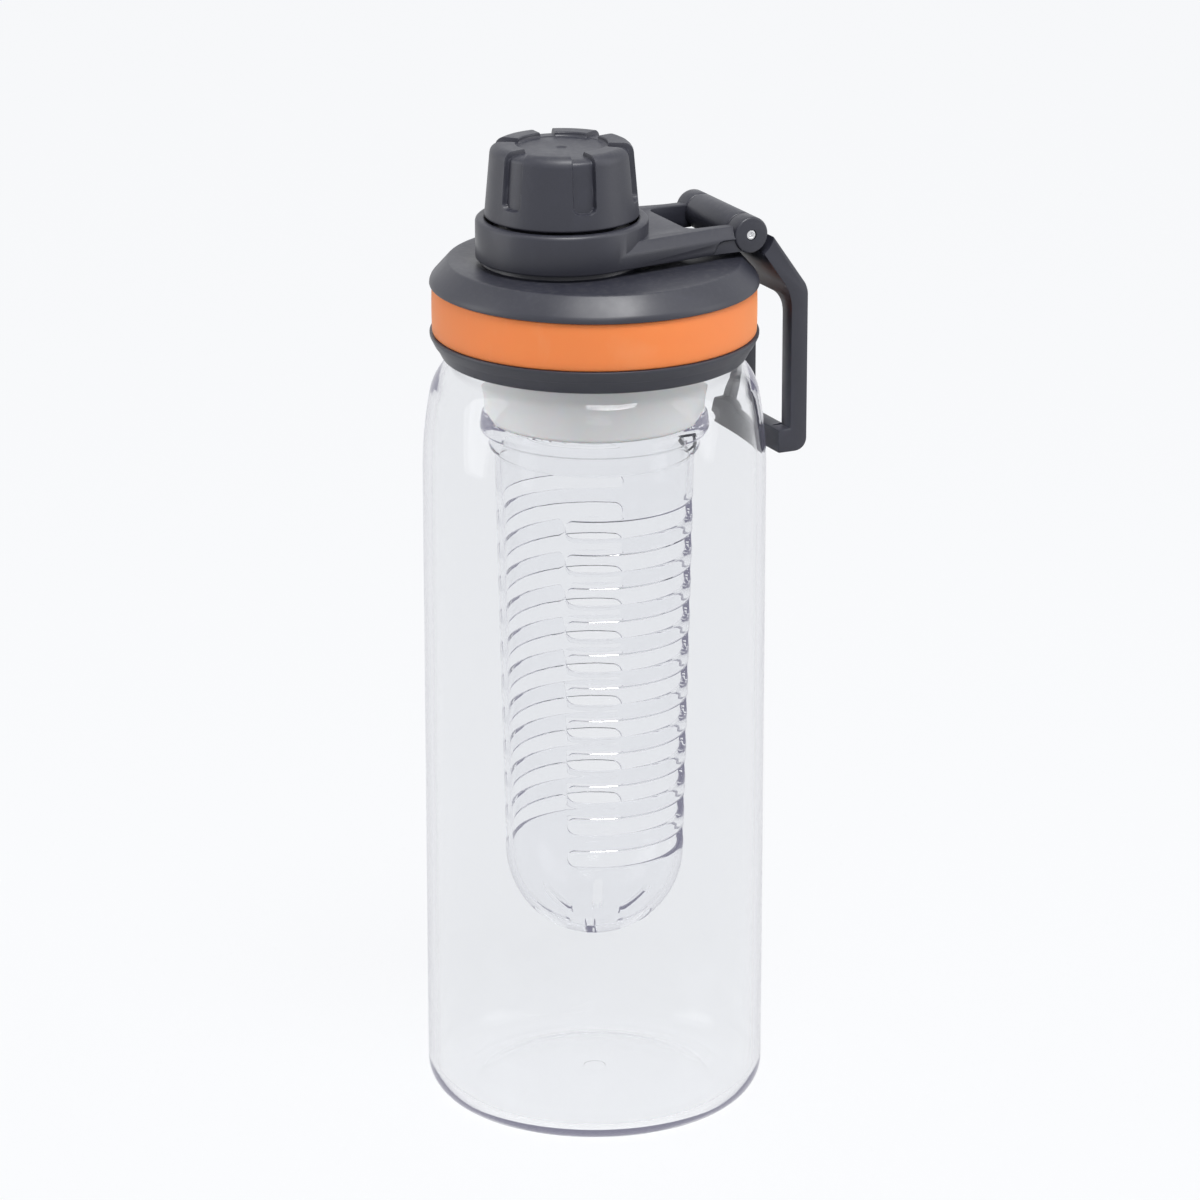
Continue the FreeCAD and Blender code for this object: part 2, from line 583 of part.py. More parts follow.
def handle_side():
    """Side view of the handle's plate, bars and foot, without the barrel's round."""
    reach = HANDLE_X - PIN_X
    distance = math.hypot(reach, KNEE_DROP)
    # the plate's outer face leaves the barrel on a tangent and runs to the knee
    to_knee = math.atan2(-KNEE_DROP, reach)
    normal = to_knee + math.acos(EAR_RADIUS / distance)
    off = (math.cos(normal), math.sin(normal))
    along = (off[1], -off[0])
    inner_off = EAR_RADIUS - BAR_DEPTH
    inner_x = HANDLE_X - BAR_DEPTH
    inner_start = (PIN_X + off[0] * inner_off, PIN_Z + off[1] * inner_off)
    knee_run = (inner_x - inner_start[0]) / along[0]
    inner_z = inner_start[1] + along[1] * knee_run
    heading = math.atan2(along[1], along[0])
    knee_start = (HANDLE_X - along[0] * KNEE_ROUND, KNEE_Z - along[1] * KNEE_ROUND)
    knee, _ = tangent_arc(knee_start, heading, (HANDLE_X, KNEE_Z - KNEE_ROUND))
    inner_low = (inner_x, inner_z - INNER_KNEE_ROUND)
    inner_high = (inner_x - along[0] * INNER_KNEE_ROUND, inner_z - along[1] * INNER_KNEE_ROUND)
    inner_knee, _ = tangent_arc(inner_low, math.pi / 2, inner_high)
    corner_x = HANDLE_X - FOOT_CORNER
    corner_z = HANDLE_FOOT_Z + FOOT_CORNER
    rounding = quarter_arc((HANDLE_X, corner_z), (corner_x, HANDLE_FOOT_Z), (corner_x, corner_z))
    crossbar_top = HANDLE_FOOT_Z + CROSSBAR_HEIGHT
    return outline((PIN_X + off[0] * EAR_RADIUS, PIN_Z + off[1] * EAR_RADIUS), [
        knee_start,
        knee,
        (HANDLE_X, corner_z),
        rounding,
        (CROSSBAR_X, HANDLE_FOOT_Z),
        (CROSSBAR_X, crossbar_top),
        (inner_x, crossbar_top),
        inner_low,
        inner_knee,
        inner_start,
    ])


def loop_opening():
    """Cutter for the finger opening, with rounded corners at its top."""
    half = HALF_WIDTH - BAR_WIDTH
    low = HANDLE_FOOT_Z + CROSSBAR_HEIGHT
    high = PIN_Z - LOOP_TOP_DROP
    out = HANDLE_X + PAST
    start = CROSSBAR_X - PAST
    lower = box((start, -half, low), (out, half, high - LOOP_CORNER))
    upper = box((start, LOOP_CORNER - half, low), (out, half - LOOP_CORNER, high))
    corners = []
    for side in (LOOP_CORNER - half, half - LOOP_CORNER):
        centre = Vector(start, side, high - LOOP_CORNER)
        corners.append(Part.makeCylinder(LOOP_CORNER, out - start, centre, Vector(1, 0, 0)))
    return lower.multiFuse([upper] + corners)


def make_carry_handle():
    """Loop with a hinge barrel, a solid sloping plate, two bars and a crossbar at the wall."""
    plate = slab(handle_side(), -HALF_WIDTH, HALF_WIDTH)
    clear = EAR_RADIUS + EAR_CLEAR
    crossbar_front = CROSSBAR_X + CROSSBAR_DEPTH
    crossbar_top = HANDLE_FOOT_Z + CROSSBAR_HEIGHT
    half = HALF_WIDTH - BAR_WIDTH
    cuts = [
        cross_rod(clear, BARREL_HALF, HALF_WIDTH + PAST),
        cross_rod(clear, -HALF_WIDTH - PAST, -BARREL_HALF),
        loop_opening(),
        box((crossbar_front, -half, HANDLE_FOOT_Z - PAST), (HANDLE_X + PAST, half, crossbar_top + PAST)),
    ]
    barrel = cross_rod(EAR_RADIUS, -BARREL_HALF, BARREL_HALF)
    bore = cross_rod(PIN_RADIUS + PIN_GAP, -HALF_WIDTH, HALF_WIDTH)
    return plate.cut(cuts).fuse(barrel).cut(bore).removeSplitter()


MAKERS = {
    "bottle_body": make_bottle_body,
    "lid_shell": make_lid_shell,
    "grip_band": make_grip_band,
    "lid_gasket": make_lid_gasket,
    "inner_sleeve": make_inner_sleeve,
    "infuser_basket": make_infuser_basket,
    "screw_cap": make_screw_cap,
    "cap_liner": make_cap_liner,
    "carry_bracket": make_carry_bracket,
    "hinge_pin": make_hinge_pin,
    "carry_handle": make_carry_handle,
}


def main():
    """Build each piece and write it to its own file."""
    os.makedirs("parts", exist_ok=True)
    for name, make in MAKERS.items():
        shape = make()
        shape.exportStep("parts/" + name + ".step")
        print(name, "solids", len(shape.Solids), "valid", shape.isValid(), "mm3", round(shape.Volume, 1))


main()
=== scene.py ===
"""Fruit infuser water bottle: the look of every piece, the studio and the camera.

Shapes are worked out in millimetres, +Z up the bottle and +X towards the carry loop, and become metres
when a piece is placed. Heights and outer radii come from the frame. The fields of each class give what
the frame's boxes can't say.
"""
import logging
import math
from dataclasses import dataclass
from enum import Enum
from typing import Iterable, Sequence

import bmesh
import bpy
from bmesh.types import BMEdge, BMesh, BMFace, BMVert
from mathutils import Matrix, Vector


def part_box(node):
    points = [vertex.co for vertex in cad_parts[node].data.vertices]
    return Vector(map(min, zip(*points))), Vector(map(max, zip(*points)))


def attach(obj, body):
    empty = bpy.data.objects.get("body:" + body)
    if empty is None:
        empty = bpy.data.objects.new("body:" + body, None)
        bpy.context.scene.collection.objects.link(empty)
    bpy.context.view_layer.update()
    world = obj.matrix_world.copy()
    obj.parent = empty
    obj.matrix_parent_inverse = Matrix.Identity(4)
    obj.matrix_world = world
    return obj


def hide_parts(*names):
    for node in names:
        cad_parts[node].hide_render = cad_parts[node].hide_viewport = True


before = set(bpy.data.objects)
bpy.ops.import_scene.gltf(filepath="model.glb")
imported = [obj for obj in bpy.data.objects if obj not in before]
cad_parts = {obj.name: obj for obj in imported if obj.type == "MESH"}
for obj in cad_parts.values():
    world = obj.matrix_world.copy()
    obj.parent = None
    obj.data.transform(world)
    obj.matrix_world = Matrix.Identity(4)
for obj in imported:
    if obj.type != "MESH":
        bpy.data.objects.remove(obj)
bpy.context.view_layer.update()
LOG = logging.getLogger("infuser_bottle")

MM = 0.001
TURN_STEPS = 160            # facets of a turned shape
FULL_TURN = 2 * math.pi
WELD = 1e-3                 # points closer than this are one
PAST = 1.0                  # how far a tool reaches past what it cuts
NOISE_LOW = 0.3             # most of a noise lies between these values
NOISE_HIGH = 0.7
MIX_COLOURS = (6, 7)        # a Mix node's colour inputs
MIX_RESULT = 2              # its colour output


class Body(Enum):
    """The bodies of the frame that pieces ride on."""

    BOTTLE = "bottle"
    GASKET = "gasket"
    BAND = "band"
    LID = "lid"
    LINER = "liner"
    CAP = "cap"
    SLEEVE = "sleeve"
    INFUSER = "infuser"
    BRACKET = "bracket"
    HANDLE = "handle"


class Slot(Enum):
    """The material slots that the pieces belong to."""

    CLEAR_BODY = "clear_body"
    CLEAR_BASKET = "clear_basket"
    DARK_PLASTIC = "dark_plastic"
    SOFT_BAND = "soft_band"
    MILKY_PLASTIC = "milky_plastic"
    SEAL = "seal"
    PIN_STEEL = "pin_steel"


class Cut(Enum):
    """What a tool shape does to the shape it meets."""

    ADD = "UNION"
    TAKE = "DIFFERENCE"


@dataclass(frozen=True)
class Room:
    """The space that a CAD node fills, in millimetres."""

    low: Vector
    high: Vector

    @classmethod
    def of(cls, node: str) -> "Room":
        """Read a node's box from the frame."""
        low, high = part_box(node)
        return cls(low / MM, high / MM)

    @property
    def radius(self) -> float:
        """Half the node's width along Y."""
        return (self.high.y - self.low.y) / 2

    @property
    def middle(self) -> Vector:
        """The middle of the box."""
        return (self.low + self.high) / 2


@dataclass(frozen=True)
class Corner:
    """A corner of a turned outline.

    Attributes:
        out: distance from the axis.
        up: height.
        soft: how far the rounding reaches along both sides.
        cuts: points added on the stretch that follows.
    """

    out: float
    up: float
    soft: float = 0.0
    cuts: int = 0


def smooth(low: float, high: float, value: float) -> float:
    """Ramp from 0 at low to 1 at high with level ends."""
    share = min(max((value - low) / (high - low), 0.0), 1.0)
    return share * share * (3 - 2 * share)


def arc(centre: tuple[float, float], radius: float, start: float, end: float, steps: int) -> list[Corner]:
    """Corners along an arc in the outline plane.

    Args:
        centre: its centre as distance from the axis and height.
        radius: its radius.
        start: the first angle in degrees, 0 pointing out and 90 up.
        end: the last angle.
        steps: the number of stretches.

    Returns:
        The corners, both ends included.
    """
    angles = [math.radians(start + (end - start) * k / steps) for k in range(steps + 1)]
    return [Corner(centre[0] + radius * math.cos(a), centre[1] + radius * math.sin(a)) for a in angles]


def soften(bm: BMesh, edges: Sequence[BMEdge], size: float, steps: int = 2) -> None:
    """Round edges.

    Args:
        bm: the shape.
        edges: the edges to round.
        size: how far the rounding reaches.
        steps: the number of stretches across it.
    """
    bmesh.ops.bevel(bm, geom=list(edges), offset=size, offset_type="OFFSET", segments=steps,
                    profile=0.5, affect="EDGES", material=-1)


def sharp_edges(bm: BMesh, angle: float) -> list[BMEdge]:
    """The edges where two faces meet at more than an angle in degrees."""
    least = math.radians(angle)
    return [e for e in bm.edges if len(e.link_faces) == 2 and e.calc_face_angle(0.0) > least]


def turned(corners: Sequence[Corner], axis_x: float = 0.0, closed: bool = False,
           steps: int = TURN_STEPS) -> BMesh:
    """Turn an outline about an upright axis.

    Args:
        corners: the outline, in order.
        axis_x: where the axis stands.
        closed: whether the last corner joins the first.
        steps: the number of facets round the axis.

    Returns:
        The turned shape.
    """
    bm = bmesh.new()
    verts = [bm.verts.new((axis_x + c.out, 0.0, c.up)) for c in corners]
    ends = verts[1:] + verts[:1] if closed else verts[1:]
    edges = [bm.edges.new(pair) for pair in zip(verts, ends)]
    for corner, edge in zip(corners, edges):
        if corner.cuts:
            bmesh.ops.subdivide_edges(bm, edges=[edge], cuts=corner.cuts)
    for corner in corners:
        if corner.soft:
            spot = Vector((axis_x + corner.out, 0.0, corner.up))
            vert = min(bm.verts, key=lambda v: (v.co - spot).length_squared)
            bmesh.ops.bevel(bm, geom=[vert], offset=corner.soft, offset_type="OFFSET", profile=0.5,
                            segments=3 + min(int(corner.soft), 9), affect="VERTICES", material=-1)
    bmesh.ops.remove_doubles(bm, verts=bm.verts, dist=WELD)
    bmesh.ops.spin(bm, geom=bm.verts[:] + bm.edges[:], cent=(axis_x, 0, 0), axis=(0, 0, 1), dvec=(0, 0, 0),
                   angle=FULL_TURN, steps=steps, use_merge=True)
    bmesh.ops.remove_doubles(bm, verts=bm.verts, dist=WELD)
    bmesh.ops.recalc_face_normals(bm, faces=bm.faces)
    return bm


def fan_out(bm: BMesh, axis_x: float, columns: Sequence[float]) -> None:
    """Set the columns of an evenly turned shape at angles of their own.

    Args:
        bm: the turned shape, with as many columns as angles.
        axis_x: where its axis stands.
        columns: the angles in degrees, in order round the axis.
    """
    for vert in bm.verts:
        x = vert.co.x - axis_x
        radius = math.hypot(x, vert.co.y)
        if radius > WELD:
            count = round(math.atan2(vert.co.y, x) / FULL_TURN * len(columns)) % len(columns)
            angle = math.radians(columns[count])
            vert.co.x = axis_x + radius * math.cos(angle)
            vert.co.y = radius * math.sin(angle)


def spaced(start: float, stretches: Sequence[tuple[float, int]], repeats: int) -> list[float]:
    """Angles of columns that repeat a pattern round the axis.

    Args:
        start: the first angle in degrees.
        stretches: width in degrees and number of cells of each stretch.
        repeats: how often the pattern comes.

    Returns:
        The angle of every column.
    """
    angles = []
    for width, cells in list(stretches) * repeats:
        angles += [start + width * k / cells for k in range(cells)]
        start += width
    return angles


def rod(radius: float, start: Vector, end: Vector, soft: float = 0.0, steps: int = 48) -> BMesh:
    """Round bar between two points.

    Args:
        radius: its radius.
        start: the middle of one end.
        end: the middle of the other.
        soft: rounding of both end edges.
        steps: the number of facets.

    Returns:
        The closed bar.
    """
    bm = bmesh.new()
    way = end - start
    turn = way.to_track_quat("Z", "Y").to_matrix().to_4x4()
    bmesh.ops.create_cone(bm, cap_ends=True, segments=steps, radius1=radius, radius2=radius, depth=way.length,
                          matrix=Matrix.Translation((start + end) / 2) @ turn)
    if soft:
        soften(bm, sharp_edges(bm, 60), soft, 3)
    return bm


def block(low: Vector, high: Vector) -> BMesh:
    """Box between two corners."""
    bm = bmesh.new()
    stretch = Matrix.Diagonal((*(high - low), 1))
    bmesh.ops.create_cube(bm, size=1.0, matrix=Matrix.Translation((low + high) / 2) @ stretch)
    return bm


def prism(points: Sequence[Vector], way: Vector) -> BMesh:
    """Flat outline swept along a straight way.

    Args:
        points: the outline's corners, in order.
        way: how far and where to.

    Returns:
        The closed prism.
    """
    bm = bmesh.new()
    verts = [bm.verts.new(p) for p in points]
    edges = [bm.edges.new(pair) for pair in zip(verts, verts[1:] + verts[:1])]
    bmesh.ops.edgeloop_fill(bm, edges=edges)
    swept = bmesh.ops.extrude_face_region(bm, geom=bm.faces[:])["geom"]
    bmesh.ops.translate(bm, vec=way, verts=[g for g in swept if isinstance(g, BMVert)])
    bmesh.ops.recalc_face_normals(bm, faces=bm.faces)
    return bm


def joined(shapes: Iterable[BMesh]) -> BMesh:
    """Put shapes into one mesh, side by side."""
    whole = bmesh.new()
    for shape in shapes:
        mesh = bpy.data.meshes.new("loose")
        shape.to_mesh(mesh)
        shape.free()
        whole.from_mesh(mesh)
        bpy.data.meshes.remove(mesh)
    return whole


def scratch_object(bm: BMesh) -> bpy.types.Object:
    """Lend a shape an object, so that a modifier can use it."""
    mesh = bpy.data.meshes.new("scratch")
    bm.to_mesh(mesh)
    bm.free()
    thing = bpy.data.objects.new("scratch", mesh)
    bpy.context.scene.collection.objects.link(thing)
    return thing


def carved(base: BMesh, tools: Sequence[tuple[Cut, BMesh]]) -> BMesh:
    """Add tool shapes to a base shape, or take them away.

    Args:
        base: the closed shape to work on.
        tools: what each closed tool does, in order.

    Returns:
        The closed result, with points at one place joined.
    """
    body = scratch_object(base)
    helpers = [scratch_object(tool) for _, tool in tools]
    for (cut, _), helper in zip(tools, helpers):
        modifier = body.modifiers.new("carve", "BOOLEAN")
        modifier.operation = cut.value
        modifier.solver = "EXACT"
        modifier.object = helper
    view = bpy.context.evaluated_depsgraph_get()
    mesh = bpy.data.meshes.new_from_object(body.evaluated_get(view))
    bm = bmesh.new()
    bm.from_mesh(mesh)
    bpy.data.meshes.remove(mesh)
    for thing in [body, *helpers]:
        used = thing.data
        bpy.data.objects.remove(thing)
        bpy.data.meshes.remove(used)
    bmesh.ops.remove_doubles(bm, verts=bm.verts, dist=WELD)
    return bm


@dataclass(frozen=True)
class Thread:
    """A right-hand screw thread raised on a turned wall.

    Attributes:
        root: radius of the wall.
        depth: how far the ridge stands out from the wall, negative towards the axis.
        lead: rise in one turn.
        low: height of the first crest.
        high: height of the last crest.
        axis_x: where the axis stands.
        phase: share of a turn by which the ridge is set round.
        crest: half the width of the ridge's top.
        flank: width of each slope.
    """

    root: float
    depth: float
    lead: float
    low: float
    high: float
    axis_x: float = 0.0
    phase: float = 0.0
    crest: float = 0.45
    flank: float = 0.8

    def raise_on(self, bm: BMesh) -> None:
        """Move the wall's points out into the ridge."""
        for vert in bm.verts:
            x = vert.co.x - self.axis_x
            radius = math.hypot(x, vert.co.y)
            if abs(radius - self.root) > WELD:
                continue
            turns = (vert.co.z - self.low) / self.lead - math.atan2(vert.co.y, x) / FULL_TURN - self.phase
            off = (turns - round(turns)) * self.lead
            crest_z = vert.co.z - off
            fade = self.lead / 4
            ends = smooth(self.low, self.low + fade, crest_z) * smooth(self.high, self.high - fade, crest_z)
            lift = self.depth * ends * smooth(self.crest + self.flank, self.crest, abs(off))
            vert.co.x += x / radius * lift
            vert.co.y += vert.co.y / radius * lift


def group_of(name: str, inputs: Sequence[tuple[str, float]],
             outputs: Sequence[str]) -> bpy.types.ShaderNodeTree:
    """Start a shader node group.

    Args:
        name: its name.
        inputs: value inputs with their defaults.
        outputs: value outputs.

    Returns:
        The group, with its input and output nodes named "in" and "out".
    """
    tree = bpy.data.node_groups.new(name, "ShaderNodeTree")
    for label, value in inputs:
        socket = tree.interface.new_socket(label, in_out="INPUT", socket_type="NodeSocketFloat")
        socket.default_value = value
    for label in outputs:
        tree.interface.new_socket(label, in_out="OUTPUT", socket_type="NodeSocketFloat")
    tree.nodes.new("NodeGroupInput").name = "in"
    tree.nodes.new("NodeGroupOutput").name = "out"
    return tree


def ramp(tree: bpy.types.NodeTree, source: bpy.types.NodeSocket, low: float, high: float,
         start: float = 0.0, end: float = 1.0) -> bpy.types.NodeSocket:
    """Map a value from one range to another, held at the ends.

    Args:
        tree: the tree to add to.
        source: the value.
        low: the value that gives start.
        high: the value that gives end.
        start: the first result.
        end: the last result.

    Returns:
        The mapped value.
    """
    node = tree.nodes.new("ShaderNodeMapRange")
    for label, value in (("From Min", low), ("From Max", high), ("To Min", start), ("To Max", end)):
        node.inputs[label].default_value = value
    tree.links.new(source, node.inputs["Value"])
    return node.outputs["Result"]


def combined(tree: bpy.types.NodeTree, operation: str, first: bpy.types.NodeSocket,
             second: object) -> bpy.types.NodeSocket:
    """Work out one value from two.

    Args:
        tree: the tree to add to.
        operation: what the Math node does.
        first: the first value.
        second: the second value, a socket or a plain number.

    Returns:
        The result.
    """
    node = tree.nodes.new("ShaderNodeMath")
    node.operation = operation
    tree.links.new(first, node.inputs[0])
    if isinstance(second, float):
        node.inputs[1].default_value = second
    else:
        tree.links.new(second, node.inputs[1])
    return node.outputs[0]


def mixed(tree: bpy.types.NodeTree, share: bpy.types.NodeSocket, first: bpy.types.Node,
          second: bpy.types.Node) -> bpy.types.Node:
    """Mix two shaders.

    Args:
        tree: the tree to add to.
        share: how much of the second.
        first: the shader at 0.
        second: the shader at 1.

    Returns:
        The mixing node.
    """
    node = tree.nodes.new("ShaderNodeMixShader")
    for source, socket in zip((share, first.outputs[0], second.outputs[0]), node.inputs):
        tree.links.new(source, socket)
    return node


class SurfaceEffects:
    """Node groups that several finishes share."""

    def __init__(self) -> None:
        self.grain = self._moulded_grain()
        self.scuffs = self._handling_scuffs()
        self.dust = self._settled_dust()

    @staticmethod
    def _moulded_grain() -> bpy.types.ShaderNodeTree:
        """Fine pitted grain of a moulding, and slow clouds of shade over it."""
        tree = group_of("moulded_grain", [("Grain Scale", 2600.0), ("Cloud Scale", 42.0)],
                        ["Height", "Clouds"])
        place = tree.nodes.new("ShaderNodeTexCoord").outputs["Object"]
        inlet = tree.nodes["in"].outputs
        outlet = tree.nodes["out"].inputs
        for label, scale, detail in (("Height", "Grain Scale", 3.0), ("Clouds", "Cloud Scale", 4.0)):
            noise = tree.nodes.new("ShaderNodeTexNoise")
            noise.inputs["Detail"].default_value = detail
            noise.inputs["Roughness"].default_value = 0.6
            tree.links.new(place, noise.inputs["Vector"])
            tree.links.new(inlet[scale], noise.inputs["Scale"])
            tree.links.new(noise.outputs["Fac"], outlet[label])
        return tree

    @staticmethod
    def _handling_scuffs() -> bpy.types.ShaderNodeTree:
        """Faint rubbed streaks that handling leaves."""
        tree = group_of("handling_scuffs", [("Scale", 60.0), ("Amount", 0.5)], ["Mask"])
        place = tree.nodes.new("ShaderNodeTexCoord").outputs["Object"]
        turn = tree.nodes.new("ShaderNodeMapping")
        turn.inputs["Rotation"].default_value = (0.3, 0.5, 0.8)
        turn.inputs["Scale"].default_value = (1.0, 7.0, 1.6)
        noise = tree.nodes.new("ShaderNodeTexNoise")
        noise.inputs["Detail"].default_value = 6.0
        inlet = tree.nodes["in"].outputs
        tree.links.new(place, turn.inputs["Vector"])
        tree.links.new(turn.outputs["Vector"], noise.inputs["Vector"])
        tree.links.new(inlet["Scale"], noise.inputs["Scale"])
        streaks = ramp(tree, noise.outputs["Fac"], 0.56, 0.78)
        mask = combined(tree, "MULTIPLY", streaks, inlet["Amount"])
        tree.links.new(mask, tree.nodes["out"].inputs["Mask"])
        return tree

    @staticmethod
    def _settled_dust() -> bpy.types.ShaderNodeTree:
        """Thin dust on faces that look up."""
        tree = group_of("settled_dust", [("Scale", 900.0), ("Amount", 0.1)], ["Mask"])
        normal = tree.nodes.new("ShaderNodeNewGeometry").outputs["Normal"]
        parts = tree.nodes.new("ShaderNodeSeparateXYZ")
        noise = tree.nodes.new("ShaderNodeTexNoise")
        noise.inputs["Detail"].default_value = 5.0
        tree.links.new(tree.nodes.new("ShaderNodeTexCoord").outputs["Object"], noise.inputs["Vector"])
        tree.links.new(tree.nodes["in"].outputs["Scale"], noise.inputs["Scale"])
        tree.links.new(normal, parts.inputs[0])
        level = ramp(tree, parts.outputs["Z"], 0.55, 1.0)
        specks = ramp(tree, noise.outputs["Fac"], 0.48, 0.72)
        settled = combined(tree, "MULTIPLY", level, specks)
        mask = combined(tree, "MULTIPLY", settled, tree.nodes["in"].outputs["Amount"])
        tree.links.new(mask, tree.nodes["out"].inputs["Mask"])
        return tree


@dataclass(frozen=True)
class Shade:
    """A plain colour in linear light."""

    red: float
    green: float
    blue: float

    @property
    def rgba(self) -> tuple[float, float, float, float]:
        """The colour with full alpha."""
        return (self.red, self.green, self.blue, 1.0)

    def times(self, factor: float) -> "Shade":
        """The colour made lighter or darker."""
        return Shade(*(min(c * factor, 1.0) for c in (self.red, self.green, self.blue)))


class Bench:
    """A material in the making: its tree, its shader and the shared effects placed in it."""

    def __init__(self, name: str) -> None:
        self.material = bpy.data.materials.new(name)
        self.material.use_nodes = True
        self.tree = self.material.node_tree
        self.shader = self.tree.nodes["Principled BSDF"]

    def effect(self, group: bpy.types.ShaderNodeTree, **values: float) -> bpy.types.NodeOutputs:
        """Place a shared effect.

        Args:
            group: the node group.
            values: its inputs, with underscores for spaces.

        Returns:
            Its outputs.
        """
        node = self.tree.nodes.new("ShaderNodeGroup")
        node.node_tree = group
        for label, value in values.items():
            node.inputs[label.replace("_", " ")].default_value = value
        return node.outputs

    def blend(self, share: bpy.types.NodeSocket, first: object, second: object) -> bpy.types.NodeSocket:
        """Mix two colours, each a Shade or a colour socket.

        Args:
            share: how much of the second.
            first: the colour at 0.
            second: the colour at 1.

        Returns:
            The mixed colour.
        """
        node = self.tree.nodes.new("ShaderNodeMix")
        node.data_type = "RGBA"
        self.tree.links.new(share, node.inputs["Factor"])
        for index, colour in zip(MIX_COLOURS, (first, second)):
            if isinstance(colour, Shade):
                node.inputs[index].default_value = colour.rgba
            else:
                self.tree.links.new(colour, node.inputs[index])
        return node.outputs[MIX_RESULT]

    def mottle(self, noise: bpy.types.NodeSocket, colour: Shade, darker: float,
               lighter: float) -> bpy.types.NodeSocket:
        """Vary a colour with a noise, from a darker to a lighter shade of it."""
        return self.blend(noise, colour.times(darker), colour.times(lighter))

    def feed(self, label: str, source: bpy.types.NodeSocket) -> None:
        """Link a value to one of the shader's sockets."""
        self.tree.links.new(source, self.shader.inputs[label])

    def fix(self, **values: object) -> None:
        """Set sockets of the shader to plain values, with underscores for spaces in their names."""
        for label, value in values.items():
            self.shader.inputs[label.replace("_", " ")].default_value = value

    def roughen(self, noise: bpy.types.NodeSocket, low: float, high: float) -> None:
        """Let the roughness follow a noise from a low value to a high one."""
        self.feed("Roughness", ramp(self.tree, noise, NOISE_LOW, NOISE_HIGH, low, high))

    def emboss(self, height: bpy.types.NodeSocket, strength: float, depth: float) -> None:
        """Raise the surface by a height.

        Args:
            height: the height, from 0 to 1.
            strength: how much it shows.
            depth: the depth in metres.
        """
        bump = self.tree.nodes.new("ShaderNodeBump")
        bump.inputs["Strength"].default_value = strength
        bump.inputs["Distance"].default_value = depth
        self.tree.links.new(height, bump.inputs["Height"])
        self.feed("Normal", bump.outputs["Normal"])


@dataclass(frozen=True)
class SatinPlastic:
    """Coloured moulding with a fine grain, soft gloss, rubbed streaks and a little dust."""

    name: str
    colour: Shade
    darker: float = 0.86
    lighter: float = 1.14
    roughness: float = 0.43
    spread: float = 0.09
    gloss: float = 0.5
    grain: float = 2600.0
    relief: float = 0.06
    depth: float = 0.00012
    scuff: float = 0.35
    dust: float = 0.04
    rub: float = 1.5
    lint: Shade = Shade(0.55, 0.54, 0.52)

    def make(self, effects: SurfaceEffects) -> bpy.types.Material:
        """Build the material."""
        bench = Bench(self.name)
        grain = bench.effect(effects.grain, Grain_Scale=self.grain)
        scuffs = bench.effect(effects.scuffs, Amount=self.scuff)
        dust = bench.effect(effects.dust, Amount=self.dust)
        body = bench.mottle(grain["Clouds"], self.colour, self.darker, self.lighter)
        rubbed = bench.blend(scuffs["Mask"], body, self.colour.times(self.rub))
        bench.feed("Base Color", bench.blend(dust["Mask"], rubbed, self.lint))
        bench.roughen(grain["Clouds"], self.roughness - self.spread, self.roughness + self.spread)
        bench.fix(Specular_IOR_Level=self.gloss)
        bench.emboss(grain["Height"], self.relief, self.depth)
        return bench.material


@dataclass(frozen=True)
class ClearPlastic:
    """Clear polished moulding that lets lamps through, with the faint ripple of a moulded wall and a painted
    grey glow where rays stay caught in it.
    """

    name: str
    colour: Shade = Shade(0.918, 0.922, 0.930)
    ior: float = 1.25
    ripple: float = 0.05
    depth: float = 0.0006
    cloud: float = 55.0
    streak: float = 140.0
    wear: float = 0.985
    polish: float = 0.004
    haze: float = 0.03
    mirrors: float = 2.5
    # painted dim grey glow where rays stay caught in the wall, standing in for trapped light
    painted_trap_glow: Shade = Shade(0.23, 0.225, 0.30)

    def make(self, effects: SurfaceEffects) -> bpy.types.Material:
        """Build the material."""
        bench = Bench(self.name)
        grain = bench.effect(effects.grain, Cloud_Scale=self.cloud)
        scuffs = bench.effect(effects.scuffs, Scale=self.streak, Amount=1.0)
        bench.feed("Base Color", bench.blend(scuffs["Mask"], self.colour, self.colour.times(self.wear)))
        bench.feed("Roughness", ramp(bench.tree, scuffs["Mask"], 0.0, 1.0, self.polish, self.haze))
        bench.fix(Transmission_Weight=1.0, IOR=self.ior)
        bench.emboss(grain["Clouds"], self.ripple, self.depth)
        self._guide_light(bench)
        return bench.material

    def _guide_light(self, bench: Bench) -> None:
        """Let lamps light what the wall holds, and end rays that stay caught in it on a painted dim grey
        glow, which stands in for the light trapped there.
        """
        nodes = bench.tree.nodes
        path = nodes.new("ShaderNodeLightPath")
        # painted glow: an emission of a fixed dim grey for rays past the glossy depth limit
        painted_glow = nodes.new("ShaderNodeEmission")
        painted_glow.inputs["Color"].default_value = self.painted_trap_glow.rgba
        pane = nodes.new("ShaderNodeBsdfTransparent")
        pane.inputs["Color"].default_value = self.colour.rgba
        stuck = combined(bench.tree, "GREATER_THAN", path.outputs["Glossy Depth"], self.mirrors)
        wall = mixed(bench.tree, stuck, bench.shader, painted_glow)
        whole = mixed(bench.tree, path.outputs["Is Shadow Ray"], wall, pane)
        bench.tree.links.new(whole.outputs[0], nodes["Material Output"].inputs["Surface"])


